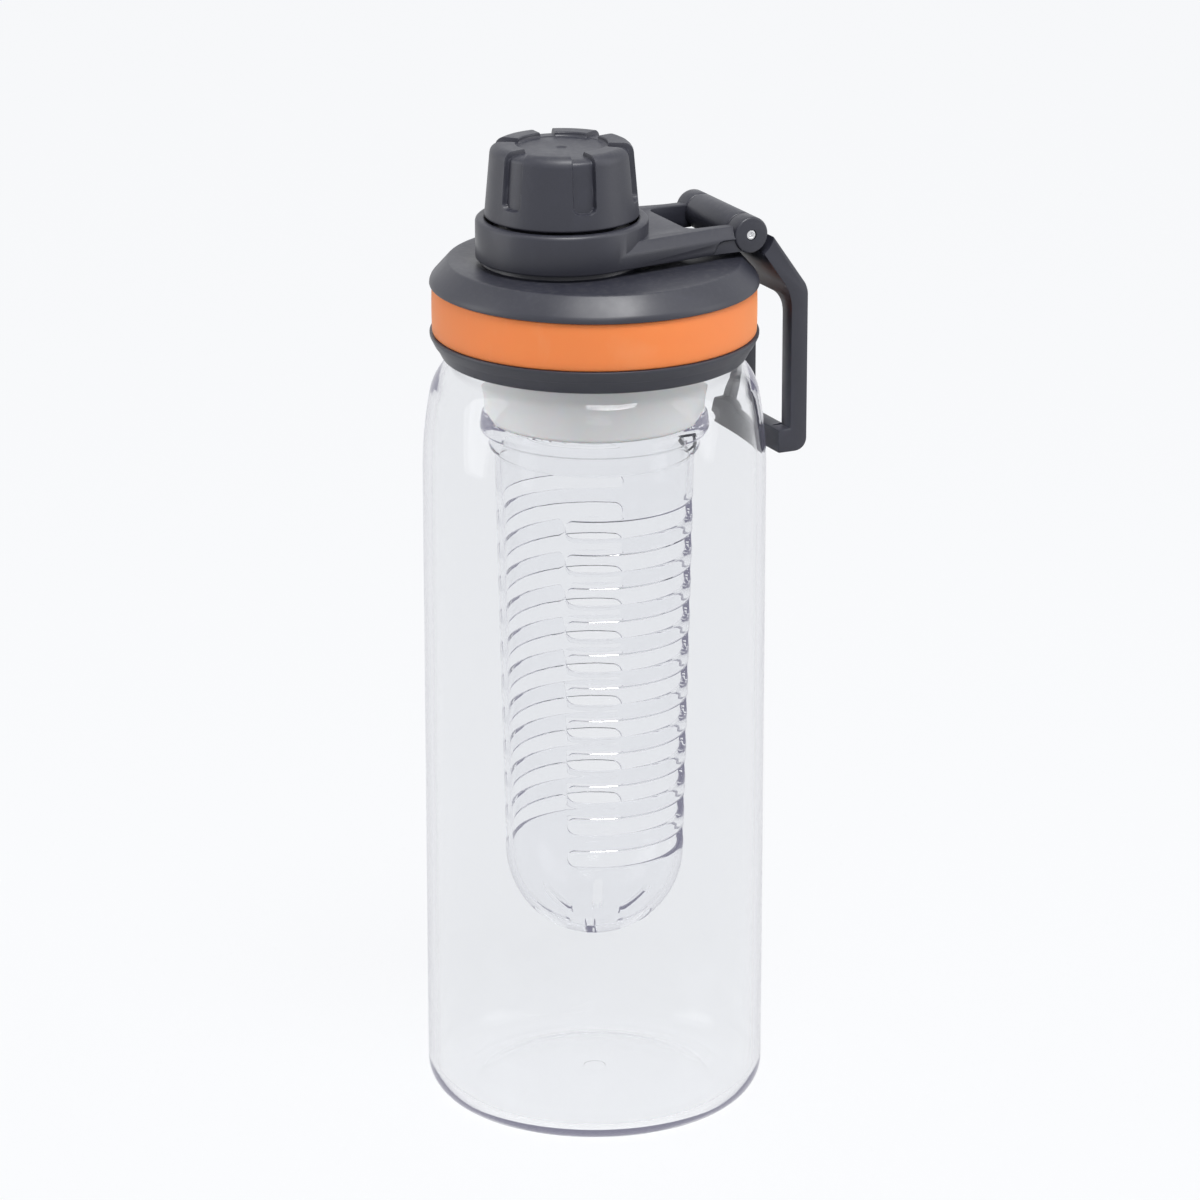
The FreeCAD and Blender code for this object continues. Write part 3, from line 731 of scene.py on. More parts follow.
@dataclass(frozen=True)
class SoftRubber:
    """Matt silicone with a velvety bloom, fine skin texture and specks of lint."""

    name: str
    colour: Shade
    pale: Shade
    darker: float = 0.93
    lighter: float = 1.06
    roughness: float = 0.55
    smoother: float = 0.06
    rougher: float = 0.08
    grain: float = 3400.0
    cloud: float = 30.0
    speck: float = 45.0
    dust: float = 0.12
    glow: float = 0.12
    glow_depth: float = 0.0015
    relief: float = 0.12
    depth: float = 0.0001
    bloom: float = 0.4
    bloom_spread: float = 0.4

    def make(self, effects: SurfaceEffects) -> bpy.types.Material:
        """Build the material."""
        bench = Bench(self.name)
        grain = bench.effect(effects.grain, Grain_Scale=self.grain, Cloud_Scale=self.cloud)
        scuffs = bench.effect(effects.scuffs, Scale=self.speck, Amount=self.dust)
        body = bench.mottle(grain["Clouds"], self.colour, self.darker, self.lighter)
        bench.feed("Base Color", bench.blend(scuffs["Mask"], body, self.pale))
        bench.roughen(grain["Clouds"], self.roughness - self.smoother, self.roughness + self.rougher)
        bench.fix(Subsurface_Weight=self.glow, Subsurface_Scale=self.glow_depth, Sheen_Weight=self.bloom,
                  Sheen_Roughness=self.bloom_spread, Sheen_Tint=self.pale.rgba)
        bench.emboss(grain["Height"], self.relief, self.depth)
        return bench.material


@dataclass(frozen=True)
class TurnedSteel:
    """Bright steel with a fine turned grain."""

    name: str
    colour: Shade = Shade(0.72, 0.72, 0.73)
    darker: float = 0.85
    lighter: float = 1.1
    roughness: float = 0.24
    smoother: float = 0.08
    rougher: float = 0.12
    grain: float = 5200.0
    cloud: float = 240.0
    relief: float = 0.1
    depth: float = 0.00005

    def make(self, effects: SurfaceEffects) -> bpy.types.Material:
        """Build the material."""
        bench = Bench(self.name)
        grain = bench.effect(effects.grain, Grain_Scale=self.grain, Cloud_Scale=self.cloud)
        bench.feed("Base Color", bench.mottle(grain["Clouds"], self.colour, self.darker, self.lighter))
        bench.roughen(grain["Height"], self.roughness - self.smoother, self.roughness + self.rougher)
        bench.fix(Metallic=1.0)
        bench.emboss(grain["Height"], self.relief, self.depth)
        return bench.material


class Finishes:
    """One material for each finish on the bottle."""

    def __init__(self) -> None:
        effects = SurfaceEffects()
        self.clear_wall = ClearPlastic("clear_bottle_wall").make(effects)
        self.clear_basket = ClearPlastic("clear_basket_wall", Shade(0.966, 0.968, 0.976), ior=1.21,
                                         ripple=0.03).make(effects)
        self.dark = SatinPlastic("dark_satin_plastic", Shade(0.024, 0.025, 0.036)).make(effects)
        self.band = SoftRubber("orange_silicone", Shade(0.80, 0.22, 0.052),
                               Shade(0.88, 0.46, 0.24)).make(effects)
        self.milky = SoftRubber("milky_sleeve_plastic", Shade(0.65, 0.65, 0.645), Shade(0.8, 0.8, 0.79),
                                roughness=0.34, glow=0.35, relief=0.02, bloom=0.0).make(effects)
        self.seal = SoftRubber("pale_seal", Shade(0.74, 0.74, 0.72), Shade(0.8, 0.8, 0.78)).make(effects)
        self.steel = TurnedSteel("turned_pin_steel").make(effects)


@dataclass(frozen=True)
class Seat:
    """Where a piece belongs: the CAD node it stands for, its body and its slot."""

    node: str
    body: Body
    slot: Slot


def place(bm: BMesh, name: str, seat: Seat, material: bpy.types.Material, crease: float = 32.0) -> None:
    """Make a piece from a finished shape, riding on its body in the node's place.

    Args:
        bm: the shape in millimetres, which is used up.
        name: the piece's name.
        seat: where it belongs.
        material: its finish.
        crease: the angle in degrees from which an edge looks sharp.
    """
    bmesh.ops.scale(bm, vec=(MM, MM, MM), verts=bm.verts)
    mesh = bpy.data.meshes.new(name)
    bm.to_mesh(mesh)
    bm.free()
    mesh.shade_smooth()
    mesh.set_sharp_from_angle(angle=math.radians(crease))
    mesh.materials.append(material)
    piece = bpy.data.objects.new(name, mesh)
    bpy.context.scene.collection.objects.link(piece)
    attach(piece, seat.body.value)
    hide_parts(seat.node)
    LOG.info("%s for %s: %d faces", name, seat.node, len(mesh.polygons))


@dataclass
class ClearBottle:
    """The clear body with its foot, drawn-in shoulder and threaded neck."""

    wall: float = 2.0
    floor: float = 2.8
    base_corner: float = 8.0
    foot_width: float = 4.0
    push_up: float = 3.0
    taper_up: float = 165.1
    taper_soft: float = 9.1
    brow_out: float = 37.08
    brow_up: float = 178.79
    brow_soft: float = 4.85
    neck: float = 33.0
    neck_up: float = 181.5
    lip: float = 0.6
    gate: float = 2.6
    gate_depth: float = 0.05
    thread_depth: float = 1.15
    thread_lead: float = 6.0
    thread_inset: float = 2.6

    def skin(self, room: Room) -> list[Corner]:
        """Outside of the bottle, from the middle of the floor to the rim."""
        foot = room.radius - self.base_corner
        hollow = foot - self.foot_width
        top = room.high.z
        return [
            Corner(0.0, self.push_up + self.gate_depth),
            Corner(self.gate, self.push_up + self.gate_depth, 0.25),
            Corner(self.gate, self.push_up, 0.25),
            Corner(hollow / 2, self.push_up, hollow / 2 - self.gate - 0.3),
            Corner(hollow, 0.0, 0.8),
            Corner(foot, 0.0),
            *arc((foot, self.base_corner), self.base_corner, -90, 0, 14)[1:],
            Corner(room.radius, self.taper_up, self.taper_soft),
            Corner(self.brow_out, self.brow_up, self.brow_soft),
            Corner(self.neck, self.neck_up, 0.7),
            Corner(self.neck, self.neck_up + 1.4, cuts=56),
            Corner(self.neck, top - 1.0),
            Corner(self.neck, top, self.lip),
        ]

    def lining(self, room: Room) -> list[Corner]:
        """Inside of the bottle, from the rim to the middle of the floor."""
        wall = room.radius - self.wall
        corner = self.base_corner - self.wall
        neck = self.neck - self.wall
        hollow = wall - corner - self.foot_width
        return [
            Corner(neck, room.high.z, self.lip),
            Corner(neck, self.neck_up - self.wall / 2, 1.5),
            Corner(self.brow_out - self.wall, self.brow_up, self.brow_soft * 0.8),
            Corner(wall, self.taper_up, self.taper_soft),
            *arc((wall - corner, self.floor + corner), corner, 0, -90, 12),
            Corner(hollow, self.floor, 3.0),
            Corner(hollow / 2, self.floor + self.push_up, hollow / 2 - 1.0),
            Corner(0.0, self.floor + self.push_up),
        ]

    def build(self, finishes: Finishes) -> None:
        """Make the bottle."""
        room = Room.of("bottle_body")
        shape = turned(self.skin(room) + self.lining(room), steps=192)
        Thread(self.neck, self.thread_depth, self.thread_lead, self.neck_up + self.thread_inset,
               room.high.z - self.thread_inset).raise_on(shape)
        place(shape, "clear_bottle", Seat("bottle_body", Body.BOTTLE, Slot.CLEAR_BODY), finishes.clear_wall)


@dataclass
class Lid:
    """The screw lid with its spout, its grip ring and its rim seal."""

    skirt: float = 34.5
    foot_wall: float = 0.8
    foot_step: float = 0.12
    groove: float = 36.1
    bevel_width: float = 4.1
    bevel_height: float = 4.6
    ceiling: float = 3.0
    top_rise: float = 22.6
    spout_x: float = -8.3
    spout: float = 12.6
    bore: float = 10.4
    boss: float = 16.1
    boss_seat: float = 18.0
    seat_height: float = 1.2
    bead: float = 16.9
    bead_up: float = 7.0
    bead_height: float = 1.4
    thread_depth: float = 1.1
    thread_lead: float = 6.0
    thread_low: float = 2.2
    thread_high: float = 4.0
    spout_thread: float = 0.85
    spout_lead: float = 5.0
    spout_thread_low: float = 2.2
    spout_thread_high: float = 2.4
    crown: float = 0.12
    band_play: float = 0.05
    seal_width: float = 3.0
    seal_room: float = 0.25
    seal_edge: float = 0.35

    def build(self, finishes: Finishes) -> None:
        """Make the three pieces."""
        self._shell(finishes)
        self._grip_ring(finishes)
        self._rim_seal(finishes)

    def _cup(self, room: Room, band: Room, top: float) -> BMesh:
        """Skirt, groove, lips and bevel, open at the ceiling and at the flat top."""
        foot = room.low.z
        ring = band.low.z - foot
        lip = room.radius
        foot_out = self.skirt + self.foot_wall
        slope_up = band.low.z - ring / 8
        step_up = foot + ring / 2
        step = foot_out + (lip - foot_out) * (step_up - foot) / (slope_up - foot)
        return turned([
            Corner(self.skirt, top - self.ceiling),
            Corner(self.skirt, top - self.ceiling - 2.6, cuts=56),
            Corner(self.skirt, foot + 1.2),
            Corner(self.skirt, foot, 0.2),
            Corner(foot_out, foot, 0.3),
            Corner(step - self.foot_step, step_up),
            Corner(step + self.foot_step, step_up, 0.1),
            Corner(lip, slope_up, 0.2),
            Corner(lip, band.low.z, 0.15),
            Corner(self.groove, band.low.z),
            Corner(self.groove, band.high.z),
            Corner(lip, band.high.z, 0.25),
            Corner(lip, top - self.bevel_height, 0.8),
            Corner(lip - self.bevel_width, top, 0.35),
            Corner(lip - self.bevel_width - 2.0, top),
        ])

    def _tower(self, top: float, rim: float) -> BMesh:
        """Boss, snap bead, spout and bore, open at the flat top and at the ceiling."""
        bead_up = top + self.bead_up
        return turned([
            Corner(self.boss_seat + 1.2, top),
            Corner(self.boss_seat, top, 0.5),
            Corner(self.boss_seat, top + self.seat_height, 0.25),
            Corner(self.boss, top + self.seat_height),
            Corner(self.boss, bead_up),
            Corner(self.bead, bead_up, 0.2),
            Corner(self.bead, bead_up + self.bead_height / 3, 0.2),
            Corner(self.spout, bead_up + self.bead_height, 0.4),
            Corner(self.spout, bead_up + self.bead_height + 0.8, cuts=56),
            Corner(self.spout, rim - 1.2),
            Corner(self.spout, rim, 0.7),
            Corner(self.bore, rim, 0.7),
            Corner(self.bore, top - self.ceiling),
        ], self.spout_x)

    def _shell(self, finishes: Finishes) -> None:
        """The dark moulding: cup and tower joined by the flat top and the ceiling."""
        room = Room.of("lid_shell")
        band = Room.of("grip_band")
        rim = room.high.z
        top = rim - self.top_rise
        cup = self._cup(room, band, top)
        Thread(self.skirt, -self.thread_depth, self.thread_lead, room.low.z + self.thread_low,
               top - self.ceiling - self.thread_high, phase=0.5).raise_on(cup)
        tower = self._tower(top, rim)
        spout_low = top + self.bead_up + self.bead_height + self.spout_thread_low
        Thread(self.spout, self.spout_thread, self.spout_lead, spout_low, rim - self.spout_thread_high,
               axis_x=self.spout_x).raise_on(tower)
        shape = joined([cup, tower])
        for height in (top, top - self.ceiling):
            rims = [e for e in shape.edges
                    if e.is_boundary and all(abs(v.co.z - height) < WELD for v in e.verts)]
            bmesh.ops.bridge_loops(shape, edges=rims)
        bmesh.ops.recalc_face_normals(shape, faces=shape.faces)
        place(shape, "lid_moulding", Seat("lid_shell", Body.LID, Slot.DARK_PLASTIC), finishes.dark)

    def _grip_ring(self, finishes: Finishes) -> None:
        """The soft ring, a little crowned across its width."""
        room = Room.of("grip_band")
        inside = self.groove + self.band_play
        outside = room.radius - self.crown
        shape = turned([
            Corner(inside, room.low.z, 0.1),
            Corner(outside, room.low.z, 0.45),
            Corner(room.radius, room.middle.z, 3.0),
            Corner(outside, room.high.z, 0.45),
            Corner(inside, room.high.z, 0.1),
        ], closed=True)
        place(shape, "grip_ring", Seat("grip_band", Body.BAND, Slot.SOFT_BAND), finishes.band)

    def _rim_seal(self, finishes: Finishes) -> None:
        """The flat seal on the bottle's rim, clear of the skirt's thread."""
        room = Room.of("lid_gasket")
        inside = room.radius - self.seal_width
        outside = room.radius - self.seal_room
        shape = turned([
            Corner(inside, room.low.z, self.seal_edge),
            Corner(outside, room.low.z, self.seal_edge),
            Corner(outside, room.high.z, self.seal_edge),
            Corner(inside, room.high.z, self.seal_edge),
        ], closed=True)
        place(shape, "rim_seal", Seat("lid_gasket", Body.GASKET, Slot.SEAL), finishes.seal)


@dataclass
class SpoutCap:
    """The small screw cap with its finger grooves, and the seal inside it."""

    bore: float = 13.8
    flare: float = 1.5
    edge: float = 2.2
    dish: float = 10.6
    dish_depth: float = 1.15
    ceiling: float = 4.2
    dimple: float = 0.9
    dimple_depth: float = 0.35
    grooves: int = 6
    groove_angle: float = 22.4
    groove_half: float = 2.8
    groove_depth: float = 1.2
    groove_foot: float = 3.8
    groove_edge: float = 0.32
    groove_corner: float = 1.7
    edge_angle: float = 3.4
    edge_cells: int = 10
    floor_cells: int = 20
    land_cells: int = 12
    notch_depth: float = 0.95
    plain_foot: float = 1.0
    thread_depth: float = 0.85
    thread_lead: float = 5.0
    thread_low: float = 2.0
    thread_high: float = 2.2
    thread_phase: float = -0.02
    crease: float = 40.0

    def _columns(self, radius: float) -> list[float]:
        """Angles in degrees of the cap's columns: close together at the grooves' edges."""
        half = math.degrees(math.asin(self.groove_half / radius))
        floor = 2 * half - self.edge_angle
        land = 360 / self.grooves - floor - 2 * self.edge_angle
        stretches = [(floor, self.floor_cells), (self.edge_angle, self.edge_cells), (land, self.land_cells),
                     (self.edge_angle, self.edge_cells)]
        return spaced(self.groove_angle - floor / 2, stretches, self.grooves)

    def build(self, finishes: Finishes) -> None:
        """Make the cap and its seal."""
        self._cap(finishes)
        self._liner(finishes)

    def _sunk(self, side: float, height: float, foot: float) -> float:
        """Share of the groove's depth at a place.

        Args:
            side: distance from the groove's middle line.
            height: height of the place.
            foot: height of the cap's foot.

        Returns:
            0 outside the groove and 1 on its floor.
        """
        across = abs(side) - self.groove_half + self.groove_corner
        below = foot + self.groove_foot + self.groove_corner - height
        out = math.hypot(across, below) if min(across, below) > 0 else max(across, below)
        return smooth(self.groove_corner, self.groove_corner - self.groove_edge, out)

    def _press_grooves(self, shape: BMesh, room: Room) -> None:
        """Sink the six grooves into the side, and their notches into the rim."""
        foot = room.low.z
        top = room.high.z
        axis = room.middle.x
        pitch = FULL_TURN / self.grooves
        shelf = top - self.dish_depth
        crown = room.radius - self.flare
        for vert in shape.verts:
            x = vert.co.x - axis
            radius = math.hypot(x, vert.co.y)
            outside = radius > crown - self.edge
            lowest = foot + self.plain_foot if outside else shelf + WELD
            if vert.co.z < lowest or radius < self.bore and vert.co.z < shelf:
                continue
            off = math.atan2(vert.co.y, x) - math.radians(self.groove_angle)
            off -= round(off / pitch) * pitch
            share = self._sunk(max(radius, crown) * math.sin(off), vert.co.z, foot)
            if not share:
                continue
            inward = min(max((radius - self.dish) / (crown - self.edge - self.dish), 0.0), 1.0)
            start = top - 2 * self.notch_depth if outside else shelf
            fall = min(max((vert.co.z - start) / (top - start), 0.0), 1.0)
            sink = self.groove_depth * share * inward / radius
            vert.co.x -= x * sink
            vert.co.y -= vert.co.y * sink
            vert.co.z -= self.notch_depth * share * fall

    def _on_side(self, room: Room, height: float, cuts: int = 0) -> Corner:
        """Corner on the tapered side.

        Args:
            room: the cap's space.
            height: the corner's height.
            cuts: points added on the stretch that follows.

        Returns:
            The corner.
        """
        share = (height - room.low.z) / (room.high.z - room.low.z)
        return Corner(room.radius - self.flare * share, height, cuts=cuts)

    def _cap(self, finishes: Finishes) -> None:
        """The dark cap."""
        room = Room.of("screw_cap")
        foot = room.low.z
        top = room.high.z
        ceiling = top - self.ceiling
        crown = room.radius - self.flare
        shelf = top - self.dish_depth
        end = foot + self.groove_foot
        columns = self._columns(crown)
        shape = turned([
            Corner(0.0, ceiling),
            Corner(self.bore, ceiling, 0.5),
            Corner(self.bore, ceiling - 1.0, cuts=36),
            Corner(self.bore, foot + 1.0),
            Corner(self.bore, foot, 0.5),
            Corner(room.radius, foot, 0.45),
            self._on_side(room, foot + 0.7, 6),
            self._on_side(room, end - self.groove_edge, 30),
            self._on_side(room, end + self.groove_corner, 16),
            self._on_side(room, top - self.edge - 0.3),
            Corner(crown, top, self.edge),
            Corner(crown - self.edge - 0.3, top, cuts=8),
            Corner(self.dish + 0.7, top),
            Corner(self.dish, top, self.dish_depth * 0.3),
            Corner(self.dish, shelf, self.dish_depth * 0.6),
            Corner(self.dimple + 0.5, shelf, 0.2),
            Corner(self.dimple, shelf - self.dimple_depth, 0.2),
            Corner(0.0, shelf - self.dimple_depth),
        ], room.middle.x, steps=len(columns))
        fan_out(shape, room.middle.x, columns)
        self._press_grooves(shape, room)
        Thread(self.bore, -self.thread_depth, self.thread_lead, foot + self.thread_low,
               ceiling - self.thread_high, axis_x=room.middle.x, phase=self.thread_phase).raise_on(shape)
        place(shape, "spout_cap", Seat("screw_cap", Body.CAP, Slot.DARK_PLASTIC), finishes.dark, self.crease)

    @staticmethod
    def _liner(finishes: Finishes) -> None:
        """The pale disc that seals the spout's rim."""
        room = Room.of("cap_liner")
        shape = turned([
            Corner(0.0, room.low.z),
            Corner(room.radius, room.low.z, 0.3),
            Corner(room.radius, room.high.z, 0.3),
            Corner(0.0, room.high.z),
        ], room.middle.x, steps=96)
        place(shape, "cap_seal", Seat("cap_liner", Body.LINER, Slot.SEAL), finishes.seal)


@dataclass
class Infuser:
    """The milky sleeve under the lid and the clear slotted basket that screws into it."""

    sleeve_wall: float = 2.8
    sleeve_out: float = 25.7
    sleeve_flange: float = 1.6
    wall: float = 1.6
    collar: float = 21.9
    collar_height: float = 10.0
    collar_thread: float = 0.65
    collar_lead: float = 4.0
    thread_crest: float = 0.3
    thread_flank: float = 0.6
    thread_low: float = 2.0
    thread_high: float = 1.8
    thread_room: float = 1.5
    sleeve_thread: float = 1.6
    flange_height: float = 3.4
    neck_step: float = 1.3
    neck_drop: float = 5.1
    tube_top: float = 23.3
    tube_low: float = 21.1
    slot_drop: float = 13.0
    slot_pitch: float = 8.13
    slot_rows: int = 11
    slot_half: float = 2.05
    slot_start: float = -133.5
    slot_span: float = 112.5
    slot_groups: int = 2
    margin: float = 1.2
    patch_cells: int = 4
    run_cells: int = 34
    plain_cells: int = 20
    dome_cells: int = 18
    rim_soft: float = 0.35
    drains: int = 6
    drain_half: float = 1.2
    drain_inner: float = 8.0
    drain_outer: float = 14.0
    drain_cells: int = 8

    def build(self, finishes: Finishes) -> None:
        """Make the sleeve and the basket."""
        self._sleeve(finishes)
        self._basket(finishes)

    def _sleeve(self, finishes: Finishes) -> None:
        """The milky tube with its flange and a thread inside its foot."""
        room = Room.of("inner_sleeve")
        bore = self.sleeve_out - self.sleeve_wall
        foot = room.low.z
        top = room.high.z
        thread_top = foot + self.collar_height + self.thread_room
        shape = turned([
            Corner(self.sleeve_out, foot, 1.1),
            Corner(self.sleeve_out, top - self.sleeve_flange, 0.9),
            Corner(room.radius, top - self.sleeve_flange, 0.3),
            Corner(room.radius, top, 0.3),
            Corner(bore, top, 0.5),
            Corner(bore, thread_top, cuts=40),
            Corner(bore, foot + 0.8),
            Corner(bore, foot, 0.4),
        ], closed=True)
        Thread(bore, -self.collar_thread, self.collar_lead, foot + self.sleeve_thread,
               thread_top - self.sleeve_thread, phase=0.5, crest=self.thread_crest,
               flank=self.thread_flank).raise_on(shape)
        place(shape, "hanging_sleeve", Seat("inner_sleeve", Body.SLEEVE, Slot.MILKY_PLASTIC), finishes.milky)

    def _slot_heights(self, room: Room) -> list[float]:
        """Heights of the slots' middles, from the top row down."""
        first = room.high.z - self.collar_height - self.flange_height - self.neck_drop - self.slot_drop
        return [first - row * self.slot_pitch for row in range(self.slot_rows)]

    def _tube(self, room: Room, inset: float) -> list[Corner]:
        """Corners up the slotted tube, with rows where the slots need them."""
        dome_up = room.low.z + self.tube_low
        neck_up = room.high.z - self.collar_height - self.flange_height - self.neck_drop
        rows = []
        reach = self.slot_half + self.margin
        cells = self.patch_cells
        for middle in reversed(self._slot_heights(room)):
            rows += [middle + reach * k / cells for k in range(-cells, cells + 1)]
        slope = (self.tube_top - self.tube_low) / (neck_up - dome_up)
        return [Corner(self.tube_low - inset + (z - dome_up) * slope, z) for z in rows + [neck_up]]

    def _outline(self, room: Room) -> list[Corner]:
        """The basket's outside from its lowest point up, over the collar, and its inside down again."""
        top = room.high.z
        seat = top - self.collar_height
        flange = seat - self.flange_height
        neck = flange - self.neck_drop
        dome_up = room.low.z + self.tube_low
        inner_collar = self.collar - self.wall
        return [
            *arc((0.0, dome_up), self.tube_low, -90, 0, self.dome_cells),
            *self._tube(room, 0.0),
            Corner(self.tube_top + self.neck_step, neck + self.neck_step, 0.8),
            Corner(self.tube_top + self.neck_step, flange, 0.9),
            Corner(room.radius, flange, 1.2),
            Corner(room.radius, seat, 1.2),
            Corner(self.collar, seat, 0.2),
            Corner(self.collar, seat + 0.9, cuts=36),
            Corner(self.collar, top - 0.9),
            Corner(self.collar, top, 0.35),
            Corner(inner_collar, top, 0.35),
            Corner(inner_collar, flange, 0.6),
            *reversed(self._tube(room, self.wall)),
            *arc((0.0, dome_up), self.tube_low - self.wall, 0, -90, self.dome_cells),
        ]

    def _end_turn(self) -> float:
        """Angle from a slot's end to the middle of its round end."""
        return math.degrees(self.slot_half / self.tube_top)

    def _columns(self) -> list[float]:
        """Angles in degrees of the basket's columns: close together at the slots' ends."""
        run = self.slot_span - 2 * self._end_turn()
        end = math.degrees((self.slot_half + self.margin) / self.tube_top)
        plain = 360 / self.slot_groups - run - 2 * end
        stretches = [(end, self.patch_cells), (run, self.run_cells), (end, self.patch_cells),
                     (plain, self.plain_cells)]
        return spaced(self.slot_start + self._end_turn() - end, stretches, self.slot_groups)

    def _round_end(self, slide: float, rise: float, radius: float) -> tuple[float, float]:
        """Where a point of a slot's frame goes on the slot's rim.

        Args:
            slide: angle in degrees from the slot's middle.
            rise: height from the slot's middle.
            radius: distance from the axis.

        Returns:
            The angle and the height on the rim, from the slot's middle.
        """
        half_run = self.slot_span / 2 - self._end_turn()
        over = abs(slide) - half_run
        if over < WELD:
            return slide, math.copysign(self.slot_half, rise)
        reach = self.slot_half + self.margin
        end = math.degrees(reach / self.tube_top)
        on_side = over > end - WELD
        lean = math.radians(45 * abs(rise) / reach if on_side else 90 - 45 * over / end)
        turn = half_run + math.degrees(self.slot_half * math.cos(lean) / radius)
        return math.copysign(turn, slide), math.copysign(self.slot_half * math.sin(lean), rise)

    def _open_slots(self, shape: BMesh, room: Room) -> None:
        """Open every slot through both skins and close its rim between them."""
        heights = self._slot_heights(room)
        reach = self.slot_half + self.margin
        half_turn = self.slot_span / 2 - self._end_turn() + math.degrees(reach / self.tube_top)
        first = self.slot_start + self.slot_span / 2
        middles = [first + g * 360 / self.slot_groups for g in range(self.slot_groups)]
        skin = (self.tube_top + self.tube_low - self.wall) / 2
        slope = (self.tube_top - self.tube_low) / 2
        frames: dict[tuple[int, int, bool], list[BMFace]] = {}
        for face in shape.faces:
            spot = face.calc_center_median()
            row = round((heights[0] - spot.z) / self.slot_pitch)
            if not 0 <= row < self.slot_rows or abs(spot.z - heights[row]) > reach:
                continue
            angle = math.degrees(math.atan2(spot.y, spot.x))
            for group, middle in enumerate(middles):
                if abs((angle - middle + 180) % 360 - 180) < half_turn:
                    level = skin + slope * (2 * row / (1 - self.slot_rows) + 1)
                    frames.setdefault((row, group, math.hypot(spot.x, spot.y) > level), []).append(face)
        rims: dict[tuple[int, int], list[BMEdge]] = {}
        for (row, group, _), faces in frames.items():
            inside = set(faces)
            border = [e for f in faces for e in f.edges if sum(g in inside for g in e.link_faces) == 1]
            bmesh.ops.delete(shape, geom=faces, context="FACES")
            grown = bmesh.ops.extrude_edge_only(shape, edges=border)["geom"]
            for vert in (g for g in grown if isinstance(g, BMVert)):
                radius = math.hypot(vert.co.x, vert.co.y)
                angle = math.degrees(math.atan2(vert.co.y, vert.co.x))
                slide = (angle - middles[group] + 180) % 360 - 180
                slide, rise = self._round_end(slide, vert.co.z - heights[row], radius)
                way = math.radians(middles[group] + slide)
                vert.co = Vector((radius * math.cos(way), radius * math.sin(way), heights[row] + rise))
            rim = [g for g in grown if isinstance(g, BMEdge) and g.is_boundary]
            rims.setdefault((row, group), []).extend(rim)
        edges: list[BMEdge] = []
        for rim in rims.values():
            edges += rim
            bmesh.ops.bridge_loops(shape, edges=rim)
        bmesh.ops.recalc_face_normals(shape, faces=shape.faces)
        soften(shape, edges, self.rim_soft, 2)

    def _drain(self, room: Room, angle: float) -> BMesh:
        """Tool for one short slot in the round bottom."""
        low = room.low.z - PAST
        high = room.low.z + self.tube_low
        points = []
        for middle, start in ((self.drain_outer, -90), (self.drain_inner, 90)):
            for corner in arc((middle, 0.0), self.drain_half, start, start + 180, self.drain_cells):
                points.append(Vector((corner.out, corner.up, low)))
        tool = prism(points, Vector((0, 0, high - low)))
        turn = Matrix.Rotation(math.radians(angle), 3, "Z")
        bmesh.ops.rotate(tool, verts=tool.verts, cent=(0, 0, 0), matrix=turn)
        return tool

    def _basket(self, finishes: Finishes) -> None:
        """The clear basket."""
        room = Room.of("infuser_basket")
        columns = self._columns()
        shape = turned(self._outline(room), steps=len(columns))
        fan_out(shape, 0.0, columns)
        seat = room.high.z - self.collar_height
        Thread(self.collar, self.collar_thread, self.collar_lead, seat + self.thread_low,
               room.high.z - self.thread_high, crest=self.thread_crest,
               flank=self.thread_flank).raise_on(shape)
        self._open_slots(shape, room)
        tools = [(Cut.TAKE, self._drain(room, k * 360 / self.drains)) for k in range(self.drains)]
        shape = carved(shape, tools)
        place(shape, "slotted_basket", Seat("infuser_basket", Body.INFUSER, Slot.CLEAR_BASKET),
              finishes.clear_basket)


